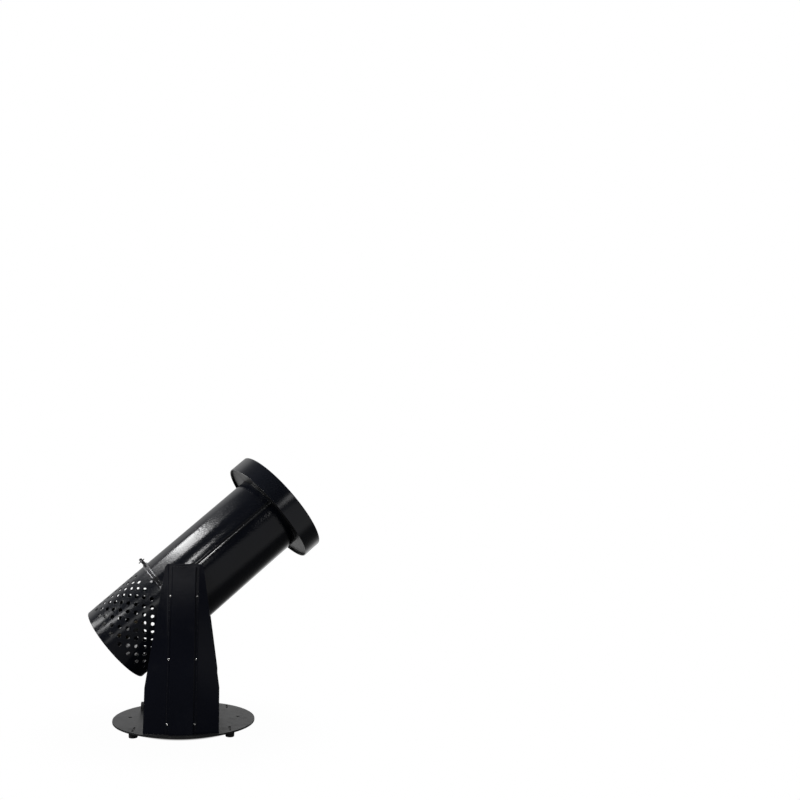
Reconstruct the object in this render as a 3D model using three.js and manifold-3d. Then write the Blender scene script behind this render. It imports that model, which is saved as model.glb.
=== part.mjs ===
// Confetti blower: a plain barrel with a perforated intake drum behind it, tilted between two
// uprights on a round base. Millimetres, +Z up, muzzle towards +X, tilt axis along Y.
// The origin is the centre of the base plate's underside.

import * as THREE from 'three';
import { mergeGeometries, mergeVertices } from 'three/addons/utils/BufferGeometryUtils.js';
import Module from 'manifold-3d';

const wasm = await Module();
wasm.setup();

const { degToRad } = THREE.MathUtils;

// Driving dimensions

const clearance = 0.3; // left between pieces that touch
const overrun = 2; // how far a cutter passes the piece that it cuts

const sides = { plate: 64, boss: 20, bush: 16, fastener: 8, hole: 8, slotEnd: 4 };

const restTilt = degToRad(41.5); // barrel above the horizontal at rest
const pivotHeight = 322.5; // tilt axis above the plate's underside

const base = {
  rim: 5.57, // beyond the lower corners of the uprights
  thickness: 3.5,
  slotLength: 34,
  slotWidth: 4.6,
  sideHoleRadius: 4.5,
  sideHoleX: 128,
};
const footPlaceShare = 0.6235; // of the base's radius, along X and along Y

const foot = { height: 13, topRadius: 10.6, bottomRadius: 9.6, tongueLength: 18, rounding: 1.5 };

// Distances called face or edge are measured outwards from the middle plane of the stand
const upright = {
  face: 148, // outer face of the flat middle
  foldBack: 7.5, // how far the widest wing edge lies behind the flat middle
  sheet: 2,
  foldMargin: 1.9, // from the stiffener's edge to where the wings fold back
  bottomWing: 46.5,
  topWing: 8,
  bendHeight: 92, // where the wing edges begin to slant
  overPivot: 36, // top edge above the tilt axis
  cornerRounding: 7.5,
};

const channel = { faceHalf: 25.5, sheet: 1.5, flange: 5.6, headGap: 0.6, topGap: 7 };

const rivet = { radius: 1.6, headRadius: 2.5, headHeight: 1.5, tailRadius: 2.4, tailHeight: 1.2 };
const rivetHeightShares = [0.059, 0.437, 0.819]; // of the stiffener's length

const footAngle = { leg: 32, thickness: 2.5, endGap: 1, screwX: 20, screwInset: 19 };

const baseScrew = {
  radius: 2.5,
  headRadius: 4.75,
  headHeight: 2.8,
  nutRadius: 5,
  nutHeight: 4.5,
  tail: 1,
};

const hoseClip = {
  x: -106.5,
  y: 78,
  width: 14,
  hoopRadius: 8,
  boreHeight: 10.6,
  bore: 5.4,
  stemRadius: 3,
  barbRadius: 4.4,
  barbTip: 2.4,
  barbLength: 4.5,
};

// Along the barrel, positions are distances from the tilt axis, positive towards the muzzle
const barrel = { radius: 100, wall: 1.5, rear: -225, joint: -47.5 };

const muzzle = {
  overhang: 43.5, // outside the barrel
  wall: 2,
  back: 266,
  length: 47,
  lip: 6,
  backPlate: 2,
  frontReturn: 8,
};

const seam = { angle: degToRad(6), width: 10, thickness: 1.3, endGap: 1 };

const perforation = {
  rings: 11,
  perRing: 21,
  radius: 4.6,
  pitch: 11.7, // between rings
  middleBehind: 5.25, // how far the middle ring lies behind the drum's middle
  angle: degToRad(2.4), // of the middle ring's first hole, from the near side towards the upper side
};

const sleeve = { reach: 24, wall: 1.5 };

const drumScrew = {
  count: 3,
  bandGap: 0.3,
  angle: degToRad(29.8),
  radius: 1.9,
  headRadius: 3.2,
  headHeight: 2.2,
  tail: 3,
};

const screen = { thickness: 2, rim: 6, pitch: 27, bar: 3 };

const band = {
  edge: 0.55, // flat edge beside each bead
  sheet: 0.9,
  beadOffset: 3.75,
  beadHalf: 2.3,
  beadTopHalf: 0.9,
  beadHeight: 3,
  skew: degToRad(1.5), // how far the band sits askew, about Y
  angle: degToRad(80), // where its ears stand
  gap: 8,
  earHalf: 3.6,
  earHeight: 19.5,
  earSheet: 1.6,
  boltHeight: 12.6,
  boltRadius: 2,
  boltHeadRadius: 4,
  boltHeadHeight: 3,
  boltTail: 3,
};

const wingNut = {
  hubRadius: 3.6,
  hubLength: 7,
  span: 8.3,
  wingHalfThickness: 1.1,
  wingHalfHeight: 2.6,
};

const endCap = { depth: 18, sheet: 2 };

const inlet = {
  shankRadius: 10,
  collarRadius: 16,
  collarLength: 8,
  sealThickness: 2,
  spigotRadius: 8,
  spigotLength: 20.4,
  bore: 5,
  shankLength: 12,
  noseRadius: 6,
  noseLength: 9,
  nutRadius: 16,
  nutLength: 8,
};

const nozzle = {
  pipeRadius: 10,
  pipeLength: 29.7,
  tipCollar: 12.5,
  tipCollarLength: 5,
  tipRadius: 6,
  tipLength: 14,
  tipBore: 2.6,
  plug: 8,
};

const saddle = { length: 60, width: 44, thickness: 3, bossRadius: 19, boreDepth: 26 };

const pivot = {
  screwRadius: 4,
  screwReach: 22, // how far the screws go into the bosses
  hubRadius: 7,
  flangeRadius: 18,
  flangeThickness: 1.5,
  hubStandOut: 0.5,
  washerRadius: 11,
  washerThickness: 1.4,
  headRadius: 8,
  headHeight: 3.4,
};

const knob = {
  spacerRadius: 7,
  spacerStandOut: 1.2,
  hubRadius: 11,
  hubLength: 7,
  headRadius: 24,
  lobeDepth: 3,
  lobes: 5,
  lobeSides: 6,
  headLength: 17,
  rounding: 2.5,
};

// Values that follow from the driving dimensions

const plateTop = base.thickness;
const innerRadius = barrel.radius - barrel.wall;
const facets = 2 * perforation.perRing; // every barrel piece has as many, in step
const facetAngle = (2 * Math.PI) / facets;
const facetStart = facetAngle / 2 - perforation.angle; // puts the holes in the middle of the facets
const muzzleRadius = barrel.radius + muzzle.overhang;
const backPlateAt = muzzle.back + muzzle.lip;
const tubeFront = backPlateAt + muzzle.backPlate;
const drumFront = barrel.joint - clearance / 2;
const tubeRear = barrel.joint + clearance / 2;
const middleRingAt = (barrel.rear + barrel.joint) / 2 - perforation.middleBehind;
const sleeveRadius = innerRadius - clearance;
const capFace = barrel.rear + endCap.depth; // rear face of the cap's disc
const capFront = capFace + endCap.sheet;
const pipeRear = capFront + inlet.shankLength + clearance;
const pipeFront = pipeRear + nozzle.pipeLength;

const pivotBore = pivot.screwRadius + clearance;
const uprightInner = upright.face - upright.sheet;
const bushFlangeFace = uprightInner - clearance - pivot.flangeThickness;
const bossEnd = bushFlangeFace - clearance;
const hubEnd = upright.face + pivot.hubStandOut;
const screwSeat = hubEnd + pivot.washerThickness + 2 * clearance;
const channelUnder = screwSeat + pivot.headHeight + channel.headGap;
const channelFace = channelUnder + channel.sheet;
const channelEdge = channel.faceHalf + channel.flange;
const rivetX = channel.faceHalf + channel.flange / 2;
const foldHalf = channelEdge + upright.foldMargin;
const bottomHalf = foldHalf + upright.bottomWing;
const angleHalf = foldHalf - footAngle.endGap;
const standFloor = plateTop + clearance; // where the uprights stand
const uprightHeight = pivotHeight + upright.overPivot - standFloor;
const channelLength = uprightHeight - channel.topGap;
const rivetHeights = rivetHeightShares.map((share) => share * channelLength);
const baseRadius = Math.hypot(bottomHalf, upright.face - upright.foldBack) + base.rim;
const footPlace = footPlaceShare * baseRadius;

const bandHalf = band.beadOffset + band.beadHalf + band.edge;
const bandShift = barrel.radius * Math.sin(band.skew); // of the skewed band at the top and the bottom
const bandSeat = barrel.radius / Math.cos(facetAngle / 2) + clearance
  + bandHalf * Math.sin(band.skew) + barrel.radius * (1 - Math.cos(band.skew));
const drumScrewAt = barrel.joint - bandHalf - bandShift - drumScrew.headRadius - drumScrew.bandGap;

const blackPaint = { color: 0x0d0e10, roughness: 0.25, metalness: 0.1 };
const satinPaint = { color: 0x17181a, roughness: 0.4, metalness: 0.1 };
const brightSteel = { color: 0xb9bcc0, roughness: 0.25, metalness: 1 };
const zincSteel = { color: 0x8f9296, roughness: 0.4, metalness: 1 };
const brass = { color: 0xb08d4a, roughness: 0.35, metalness: 1 };
const rubber = { color: 0x101010, roughness: 0.85, metalness: 0 };
const plastic = { color: 0x131415, roughness: 0.5, metalness: 0 };

// Solids

function solid(geometry) {
  const bare = new THREE.BufferGeometry();
  bare.setAttribute('position', geometry.getAttribute('position'));
  bare.setIndex(geometry.getIndex());
  const welded = mergeVertices(bare);
  const index = welded.getIndex().array;
  const triangles = [];
  for (let i = 0; i < index.length; i += 3) {
    const [a, b, c] = index.slice(i, i + 3);
    if (a !== b && b !== c && c !== a) triangles.push(a, b, c);
  }
  const vertProperties = new Float32Array(welded.getAttribute('position').array);
  const triVerts = new Uint32Array(triangles);
  return new wasm.Manifold(new wasm.Mesh({ numProp: 3, vertProperties, triVerts }));
}

function geometryOf(manifold) {
  const mesh = manifold.getMesh();
  const geometry = new THREE.BufferGeometry();
  const places = new Float32Array(mesh.vertProperties);
  geometry.setAttribute('position', new THREE.BufferAttribute(places, mesh.numProp));
  geometry.setIndex(new THREE.BufferAttribute(new Uint32Array(mesh.triVerts), 1));
  const flat = geometry.toNonIndexed();
  flat.computeVertexNormals();
  return flat;
}

function cut(geometry, ...cutters) {
  return geometryOf(cutters.reduce((body, cutter) => body.subtract(solid(cutter)), solid(geometry)));
}

function join(...geometries) {
  return geometryOf(geometries.map(solid).reduce((body, piece) => body.add(piece)));
}

function piece(name, geometry, finish) {
  const mesh = new THREE.Mesh(geometry, new THREE.MeshStandardMaterial(finish));
  mesh.name = name;
  return mesh;
}

function polygon(radius, count, x = 0, y = 0) {
  return Array.from({ length: count }, (_, i) => {
    const angle = (2 * Math.PI * i) / count;
    return new THREE.Vector2(x + radius * Math.cos(angle), y + radius * Math.sin(angle));
  });
}

function points(pairs) {
  return pairs.map(([x, y]) => new THREE.Vector2(x, y));
}

function extrude(outline, depth, holes = []) {
  const shape = new THREE.Shape(outline);
  shape.holes = holes.map((hole) => new THREE.Path(hole));
  return new THREE.ExtrudeGeometry(shape, { depth, bevelEnabled: false });
}

// A profile of [radius, height] pairs turned about Y, counterclockwise, ending on the axis or closed
function turned(profile, count, start = 0) {
  return new THREE.LatheGeometry(points(profile), count, start, 2 * Math.PI);
}

// The same about the barrel's axis, X
function turnedOnBarrel(profile, count = facets) {
  return turned(profile, count, facetStart).rotateZ(-Math.PI / 2);
}

function ringProfile(inner, outer, from, to) {
  return [[inner, from], [outer, from], [outer, to], [inner, to], [inner, from]];
}

function rodY(radius, from, to, count, x = 0, z = 0) {
  const length = Math.abs(to - from);
  return new THREE.CylinderGeometry(radius, radius, length, count).translate(x, (from + to) / 2, z);
}

function box(x, y, z) {
  return new THREE.BoxGeometry(x[1] - x[0], y[1] - y[0], z[1] - z[0])
    .translate((x[0] + x[1]) / 2, (y[0] + y[1]) / 2, (z[0] + z[1]) / 2);
}

// Turns what was made on the near side, -Y, to an angle round the barrel, towards its upper side
function roundBarrel(geometry, angle, along) {
  return geometry.rotateX(-angle).translate(along, 0, 0);
}

const domeShares = [[0, 1], [0.68, 0.78], [1, 0]]; // radius and height of a domed head

// A screw or rivet along +Y: its head's seat at 0, head towards -Y, and a tail past its grip
function fastener({ radius, headRadius, headHeight, grip, tailRadius = radius, tailHeight = 0 }) {
  const head = domeShares.map(([r, h]) => [r * headRadius, -h * headHeight]);
  const tail = tailHeight > 0 ? [[tailRadius, grip], [tailRadius, grip + tailHeight]] : [];
  const end = grip + tailHeight;
  return turned([...head, [radius, 0], [radius, grip], ...tail, [0, end]], sides.fastener);
}

// Stand: base plate and feet

function baseCorners() {
  return [[1, -1, 'front_near'], [1, 1, 'front_far'], [-1, -1, 'rear_near'], [-1, 1, 'rear_far']];
}

// A slot of rounded ends, along Y
function slotOutline(length, width, x, y) {
  const reach = (length - width) / 2;
  const shape = new THREE.Path();
  shape.absarc(x, y + reach, width / 2, 0, Math.PI);
  shape.absarc(x, y - reach, width / 2, Math.PI, 2 * Math.PI);
  return shape.getPoints(sides.slotEnd / 2);
}

function angleScrewPlaces() {
  const y = uprightInner - clearance - footAngle.screwInset;
  return [-1, 1].flatMap((v) => [-1, 1].map((h) => [h * footAngle.screwX, v * y]));
}

function basePlate() {
  const slots = baseCorners().map(([h, v]) =>
    slotOutline(base.slotLength, base.slotWidth, h * footPlace, v * footPlace));
  const sideHoles = [-1, 1].map((h) => polygon(base.sideHoleRadius, sides.fastener, h * base.sideHoleX));
  const screwHoles = angleScrewPlaces().map(([x, y]) =>
    polygon(baseScrew.radius + clearance, sides.fastener, x, y));
  const clipHole = polygon(hoseClip.stemRadius + clearance, sides.fastener, hoseClip.x, hoseClip.y);
  const holes = [...slots, ...sideHoles, ...screwHoles, clipHole];
  return piece('base_plate', extrude(polygon(baseRadius, sides.plate), base.thickness, holes), satinPaint);
}

// A rubber foot with a tongue that fills the middle of its slot
function rubberFoot(name, x, y) {
  const body = turned([
    [0, -foot.height],
    [foot.bottomRadius - foot.rounding, -foot.height],
    [foot.bottomRadius, -foot.height + foot.rounding],
    [foot.topRadius, -clearance],
    [0, -clearance],
  ], sides.bush).rotateX(Math.PI / 2);
  const outline = slotOutline(foot.tongueLength, base.slotWidth - 2 * clearance, 0, 0);
  const tongue = extrude(outline, base.thickness + overrun).translate(0, 0, -overrun);
  return piece(name, join(body, tongue).translate(x, y, 0), rubber);
}

function feet() {
  return baseCorners().map(([h, v, place]) => rubberFoot(`foot_${place}`, h * footPlace, v * footPlace));
}

// A clip for the gas hose, its bore along X, with a barbed stem through the plate
function hoseClipBody() {
  const { x, y, width, hoopRadius, boreHeight, bore, stemRadius } = hoseClip;
  const { barbRadius, barbTip, barbLength } = hoseClip;
  const outline = new THREE.Shape();
  outline.moveTo(-hoopRadius, 0);
  outline.lineTo(hoopRadius, 0);
  outline.absarc(0, boreHeight, hoopRadius, 0, Math.PI, false);
  const hole = polygon(bore, sides.fastener, 0, boreHeight);
  const block = extrude(outline.getPoints(sides.hole / 2), width, [hole])
    .rotateX(Math.PI / 2)
    .rotateZ(Math.PI / 2)
    .translate(-width / 2, 0, 0);
  const under = base.thickness + 2 * clearance;
  const root = boreHeight - bore;
  const stem = turned([
    [0, -under - barbLength], [barbTip, -under - barbLength], [barbRadius, -under], [stemRadius, -under],
    [stemRadius, root / 2], [0, root / 2],
  ], sides.fastener).rotateX(Math.PI / 2);
  return piece('hose_clip', join(block, stem).translate(x, y, standFloor), plastic);
}

function baseScrews() {
  const grip = base.thickness + footAngle.thickness + baseScrew.nutHeight + 2 * clearance + baseScrew.tail;
  return angleScrewPlaces().map(([x, y], i) => {
    const screw = fastener({ ...baseScrew, grip }).rotateX(Math.PI / 2).translate(x, y, -clearance);
    return piece(`base_screw_${i + 1}`, screw, zincSteel);
  });
}

// Stand: one side, made as the near side with outwards towards -Y

// Stands a flat outline of x and height upright, its outer face at the given distance
function standing(geometry, outerFace, depth) {
  return geometry.rotateX(Math.PI / 2).translate(0, -(outerFace - depth), standFloor);
}

function uprightMiddle() {
  const outline = points([
    [-foldHalf, 0], [foldHalf, 0], [foldHalf, uprightHeight], [-foldHalf, uprightHeight],
  ]);
  const rivetHoles = rivetHeights.flatMap((z) => [-1, 1].map((h) =>
    polygon(rivet.radius + clearance, sides.fastener, h * rivetX, z)));
  const pivotHole = polygon(pivot.hubRadius + clearance, sides.bush, 0, pivotHeight - standFloor);
  return extrude(outline, upright.sheet, [...rivetHoles, pivotHole]);
}

function uprightWing(side) {
  const { topWing, bottomWing, bendHeight, foldBack, sheet } = upright;
  const rounding = Math.min(upright.cornerRounding, topWing);
  const bend = new THREE.Vector2(bottomHalf, bendHeight);
  const corner = new THREE.Vector2(foldHalf + topWing, uprightHeight);
  const before = corner.clone().add(bend.clone().sub(corner).setLength(rounding));
  const shape = new THREE.Shape();
  shape.moveTo(side * foldHalf, 0);
  shape.lineTo(side * bottomHalf, 0);
  shape.lineTo(side * bend.x, bend.y);
  shape.lineTo(side * before.x, before.y);
  shape.quadraticCurveTo(side * corner.x, corner.y, side * (corner.x - rounding), corner.y);
  shape.lineTo(side * foldHalf, uprightHeight);
  const wing = new THREE.ExtrudeGeometry(shape, { depth: sheet, bevelEnabled: false, curveSegments: 4 });
  const places = wing.getAttribute('position');
  for (let i = 0; i < places.count; i++) {
    const beyond = Math.abs(places.getX(i)) - foldHalf;
    places.setZ(i, places.getZ(i) - (foldBack * beyond) / bottomWing);
  }
  return wing;
}

function uprightPlate(name) {
  const sheet = join(uprightMiddle(), uprightWing(-1), uprightWing(1));
  return piece(name, standing(sheet, upright.face, upright.sheet), blackPaint);
}

// The hat-section stiffener, with a hole for the spacer where it takes one
function stiffener(name, spacerHole) {
  const { faceHalf, sheet } = channel;
  const root = upright.face + clearance;
  const inside = faceHalf - sheet;
  const outline = points([
    [-channelEdge, -root], [-inside, -root], [-inside, -channelUnder], [inside, -channelUnder],
    [inside, -root], [channelEdge, -root], [channelEdge, -root - sheet], [faceHalf, -root - sheet],
    [faceHalf, -channelFace], [-faceHalf, -channelFace], [-faceHalf, -root - sheet],
    [-channelEdge, -root - sheet],
  ]);
  const body = extrude(outline, channelLength).translate(0, 0, standFloor);
  const [rivetFrom, rivetTo] = [-root + overrun, -root - sheet - overrun];
  const drills = rivetHeights.flatMap((z) => [-1, 1].map((h) =>
    rodY(rivet.radius + clearance, rivetFrom, rivetTo, sides.fastener, h * rivetX, standFloor + z)));
  if (spacerHole) {
    const [from, to] = [-channelUnder + overrun, -channelFace - overrun];
    drills.push(rodY(knob.spacerRadius + clearance, from, to, sides.bush, 0, pivotHeight));
  }
  return piece(name, cut(body, ...drills), blackPaint);
}

function rivets(place) {
  const seat = upright.face + 2 * clearance + channel.sheet;
  return rivetHeights.flatMap((z, row) => [-1, 1].map((h, column) => {
    const backing = row === 0 ? footAngle.thickness + clearance : 0; // the lowest pair holds the foot angle
    const grip = seat - uprightInner + clearance + backing;
    const body = fastener({ ...rivet, grip }).translate(h * rivetX, -seat, standFloor + z);
    return piece(`rivet_${place}_${2 * row + column + 1}`, body, brightSteel);
  }));
}

// The angle that holds an upright to the base, with nuts welded on it
function footAngleBody(name) {
  const { leg, thickness, screwX, screwInset } = footAngle;
  const back = uprightInner - clearance;
  const outline = points([
    [-back, 0], [-back + leg, 0], [-back + leg, thickness], [-back + thickness, thickness],
    [-back + thickness, leg], [-back, leg],
  ]);
  const body = extrude(outline, 2 * angleHalf)
    .rotateX(Math.PI / 2)
    .rotateZ(Math.PI / 2)
    .translate(-angleHalf, 0, standFloor);
  const [from, to] = [-back - overrun, -back + thickness + overrun];
  const lowest = standFloor + rivetHeights[0];
  const rivetDrills = [-1, 1].map((h) =>
    rodY(rivet.radius + clearance, from, to, sides.fastener, h * rivetX, lowest));
  const nutTop = thickness + baseScrew.nutHeight;
  const atScrews = (make) => [-1, 1].map((h) => make().translate(h * screwX, -back + screwInset, standFloor));
  const weldNuts = atScrews(() => extrude(polygon(baseScrew.nutRadius, 6), nutTop));
  const screwDrills = atScrews(() =>
    rodY(baseScrew.radius + clearance, -overrun, nutTop + overrun, sides.fastener).rotateX(Math.PI / 2));
  return piece(name, cut(join(body, ...weldNuts), ...rivetDrills, ...screwDrills), blackPaint);
}

// The flanged bush in the upright, whose flange is the friction face of the tilt
function pivotBush(name) {
  const bore = pivotBore;
  const profile = [
    [bore, -hubEnd], [pivot.hubRadius, -hubEnd], [pivot.hubRadius, -bushFlangeFace - pivot.flangeThickness],
    [pivot.flangeRadius, -bushFlangeFace - pivot.flangeThickness], [pivot.flangeRadius, -bushFlangeFace],
    [bore, -bushFlangeFace], [bore, -hubEnd],
  ];
  return piece(name, turned(profile, sides.bush).translate(0, 0, pivotHeight), plastic);
}

function standSide(place) {
  const side = new THREE.Group();
  side.add(
    uprightPlate(`upright_${place}`),
    stiffener(`channel_${place}`, place === 'far'),
    ...rivets(place),
    footAngleBody(`foot_angle_${place}`),
    pivotBush(`pivot_bush_${place}`),
  );
  if (place === 'far') side.rotation.z = Math.PI;
  return side;
}

// Barrel: tube, seam, muzzle

function barrelTube() {
  const profile = ringProfile(innerRadius, barrel.radius, tubeRear, tubeFront);
  return piece('barrel_tube', turnedOnBarrel(profile), blackPaint);
}

// The lap strip of the tube's lengthwise seam, in front of the near saddle
function barrelSeam() {
  const half = seam.width / 2 / barrel.radius;
  const middle = -Math.PI / 2 - seam.angle;
  const inner = barrel.radius + clearance;
  const shape = new THREE.Shape();
  shape.absarc(0, 0, inner, middle - half, middle + half, false);
  shape.absarc(0, 0, inner + seam.thickness, middle + half, middle - half, true);
  const from = saddle.length / 2 + seam.endGap;
  const length = backPlateAt - seam.endGap - from;
  const strip = new THREE.ExtrudeGeometry(shape, { depth: length, bevelEnabled: false, curveSegments: 3 })
    .rotateY(Math.PI / 2)
    .translate(from, 0, 0);
  return piece('barrel_seam', strip, blackPaint);
}

function muzzleRing() {
  const { wall, back, length, frontReturn } = muzzle;
  const front = back + length;
  const inside = muzzleRadius - wall;
  const returned = muzzleRadius - frontReturn;
  const profile = [
    [inside, back], [muzzleRadius, back], [muzzleRadius, front], [returned, front],
    [returned, front - wall], [inside, front - wall], [inside, back],
  ];
  return piece('muzzle_ring', turnedOnBarrel(profile), blackPaint);
}

function muzzleBackPlate() {
  const outer = muzzleRadius - muzzle.wall - clearance;
  const profile = ringProfile(barrel.radius + clearance, outer, backPlateAt, tubeFront);
  return piece('muzzle_back_plate', turnedOnBarrel(profile), blackPaint);
}

// Barrel: intake drum and the joint

function drumScrewAngles() {
  const { count, angle } = drumScrew;
  return Array.from({ length: count }, (_, i) => angle + (2 * Math.PI * i) / count);
}

// The holes of one facet, as places along the barrel; alternate rings fall on alternate facets
function facetHoles(facet) {
  const holes = [];
  for (let ring = 0; ring < perforation.rings; ring++) {
    if (ring % 2 !== facet % 2) {
      holes.push(middleRingAt + (ring - (perforation.rings - 1) / 2) * perforation.pitch);
    }
  }
  return holes.map((along) => polygon(perforation.radius, sides.hole, along));
}

// The drum's shell, facet by facet: a flat panel outside and inside, with the walls of its holes between
function perforatedShell() {
  const places = [];
  const add = (...corners) => corners.forEach((corner) => places.push(...corner));
  const corner = (radius, vertex, along) => {
    const angle = perforation.angle + (vertex - 1 / 2) * facetAngle;
    return [along, -radius * Math.cos(angle), radius * Math.sin(angle)];
  };
  for (let facet = 0; facet < facets; facet++) {
    const angle = perforation.angle + facet * facetAngle;
    const onPanel = (radius) => ({ x: along, y: across }) => {
      const height = radius * Math.cos(facetAngle / 2);
      return [
        along,
        -height * Math.cos(angle) + across * Math.sin(angle),
        height * Math.sin(angle) + across * Math.cos(angle),
      ];
    };
    const next = (facet + 1) % facets;
    const side = (radius) => [
      corner(radius, facet, barrel.rear), corner(radius, facet, drumFront),
      corner(radius, next, drumFront), corner(radius, next, barrel.rear),
    ];
    const outerCorners = side(barrel.radius);
    const innerCorners = side(innerRadius);
    const half = barrel.radius * Math.sin(facetAngle / 2);
    const contour = points([
      [barrel.rear, -half], [drumFront, -half], [drumFront, half], [barrel.rear, half],
    ]);
    const holes = facetHoles(facet);
    const outer = [...outerCorners, ...holes.flat().map(onPanel(barrel.radius))];
    const inner = [...innerCorners, ...holes.flat().map(onPanel(innerRadius))];
    for (const [a, b, c] of THREE.ShapeUtils.triangulateShape(contour, holes)) {
      add(outer[a], outer[b], outer[c]);
      add(inner[a], inner[c], inner[b]);
    }
    let first = contour.length;
    for (const hole of holes) {
      for (let i = 0; i < hole.length; i++) {
        const a = first + i;
        const b = first + ((i + 1) % hole.length);
        add(outer[a], outer[b], inner[b]);
        add(outer[a], inner[b], inner[a]);
      }
      first += hole.length;
    }
    add(outer[0], outer[3], inner[3], outer[0], inner[3], inner[0]);
    add(outer[2], outer[1], inner[1], outer[2], inner[1], inner[2]);
  }
  const geometry = new THREE.BufferGeometry();
  geometry.setAttribute('position', new THREE.Float32BufferAttribute(places, 3));
  return mergeVertices(geometry);
}

function intakeDrum() {
  return piece('intake_drum', cut(perforatedShell(), ...drumScrewDrills()), blackPaint);
}

function drumScrewDrills() {
  const grip = barrel.wall + sleeve.wall + clearance;
  return drumScrewAngles().map((angle) => {
    const from = -barrel.radius - overrun;
    const drill = rodY(drumScrew.radius + clearance, from, -barrel.radius + grip + overrun, sides.hole);
    return roundBarrel(drill, angle, drumScrewAt);
  });
}

function jointSleeve() {
  const from = barrel.joint - sleeve.reach;
  const to = barrel.joint + sleeve.reach;
  const ring = turnedOnBarrel(ringProfile(sleeveRadius - sleeve.wall, sleeveRadius, from, to));
  return piece('joint_sleeve', cut(ring, ...drumScrewDrills()), zincSteel);
}

function drumScrews() {
  const grip = barrel.wall + sleeve.wall + 2 * clearance + drumScrew.tail;
  return drumScrewAngles().map((angle, i) => {
    const screw = fastener({ ...drumScrew, grip }).translate(0, -barrel.radius - clearance, 0);
    return piece(`drum_screw_${i + 1}`, roundBarrel(screw, angle, drumScrewAt), zincSteel);
  });
}

// The grid against the sleeve's front end
function confettiScreen() {
  const at = barrel.joint + sleeve.reach + clearance;
  const open = sleeveRadius - screen.rim;
  const front = at + screen.thickness;
  const disc = turnedOnBarrel([[0, at], [sleeveRadius, at], [sleeveRadius, front], [0, front]]);
  const half = (screen.pitch - screen.bar) / 2;
  const cells = [];
  const count = Math.floor(open / screen.pitch);
  for (let i = -count; i <= count; i++) {
    for (let k = -count; k <= count; k++) {
      const y = i * screen.pitch;
      const z = k * screen.pitch;
      if (Math.hypot(Math.abs(y) + half, Math.abs(z) + half) < open) {
        cells.push(box([at - overrun, front + overrun], [y - half, y + half], [z - half, z + half]));
      }
    }
  }
  return piece('confetti_screen', cut(disc, mergeGeometries(cells)), zincSteel);
}

// Barrel: clamp band, in its own frame: middle at 0 along X, ears upwards at Z, then turned into place

function placeOnBand(geometry) {
  return geometry
    .rotateX(Math.PI / 2 - band.angle)
    .rotateY(-band.skew)
    .translate(barrel.joint, 0, 0);
}

function bandProfile() {
  const { sheet, beadOffset, beadHalf, beadTopHalf, beadHeight } = band;
  const bead = (middle) => [
    [bandSeat + sheet, middle - beadHalf],
    [bandSeat + beadHeight, middle - beadTopHalf],
    [bandSeat + beadHeight, middle + beadTopHalf],
    [bandSeat + sheet, middle + beadHalf],
  ];
  return [
    [bandSeat, -bandHalf], [bandSeat + sheet, -bandHalf],
    ...bead(-beadOffset), ...bead(beadOffset),
    [bandSeat + sheet, bandHalf], [bandSeat, bandHalf], [bandSeat, -bandHalf],
  ];
}

function bandEar(side) {
  const middle = (side * (band.gap + band.earSheet)) / 2;
  const across = [middle - band.earSheet / 2, middle + band.earSheet / 2];
  return box([-band.earHalf, band.earHalf], across, [bandSeat, bandSeat + band.earHeight]);
}

function clampBand() {
  const ring = turned(bandProfile(), facets).rotateZ(-Math.PI / 2);
  const [past, half] = [bandHalf + overrun, band.gap / 2];
  const opening = box([-past, past], [-half, half], [0, bandSeat + band.beadHeight + overrun]);
  const reach = half + band.earSheet + overrun;
  const height = bandSeat + band.boltHeight;
  const drill = rodY(band.boltRadius + clearance, -reach, reach, sides.fastener, 0, height);
  const open = join(cut(ring, opening), bandEar(-1), bandEar(1));
  return piece('clamp_band', placeOnBand(cut(open, drill)), brightSteel);
}

function clampBolt() {
  const seat = band.gap / 2 + band.earSheet + clearance;
  const end = -seat - clearance - wingNut.hubLength - band.boltTail;
  const z = bandSeat + band.boltHeight;
  const shank = rodY(band.boltRadius, end, seat + band.boltHeadHeight / 2, sides.fastener, 0, z);
  const head = new THREE.CylinderGeometry(band.boltHeadRadius, band.boltHeadRadius, band.boltHeadHeight, 6)
    .translate(0, seat + band.boltHeadHeight / 2, z);
  return piece('clamp_bolt', placeOnBand(join(shank, head)), zincSteel);
}

function clampWingNut() {
  const face = -band.gap / 2 - band.earSheet - clearance;
  const z = bandSeat + band.boltHeight;
  const { hubRadius, hubLength, span, wingHalfThickness, wingHalfHeight } = wingNut;
  const hub = rodY(hubRadius, face, face - hubLength, sides.fastener, 0, z);
  const outer = face - hubLength;
  const wing = (side) => box(
    side > 0 ? [0, span] : [-span, 0],
    [outer, outer + 2 * wingHalfHeight],
    [z - wingHalfThickness, z + wingHalfThickness],
  );
  const bore = rodY(band.boltRadius + clearance, face + overrun, outer - overrun, sides.fastener, 0, z);
  return piece('clamp_wing_nut', placeOnBand(cut(join(hub, wing(-1), wing(1)), bore)), plastic);
}

// Barrel: rear end and nozzle

function intakeEndCap() {
  const { sheet } = endCap;
  const hole = inlet.shankRadius + clearance;
  const profile = [
    [hole, capFace], [sleeveRadius - sheet, capFace], [sleeveRadius - sheet, barrel.rear],
    [sleeveRadius, barrel.rear], [sleeveRadius, capFront], [hole, capFront], [hole, capFace],
  ];
  return piece('intake_end_cap', turnedOnBarrel(profile), blackPaint);
}

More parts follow.
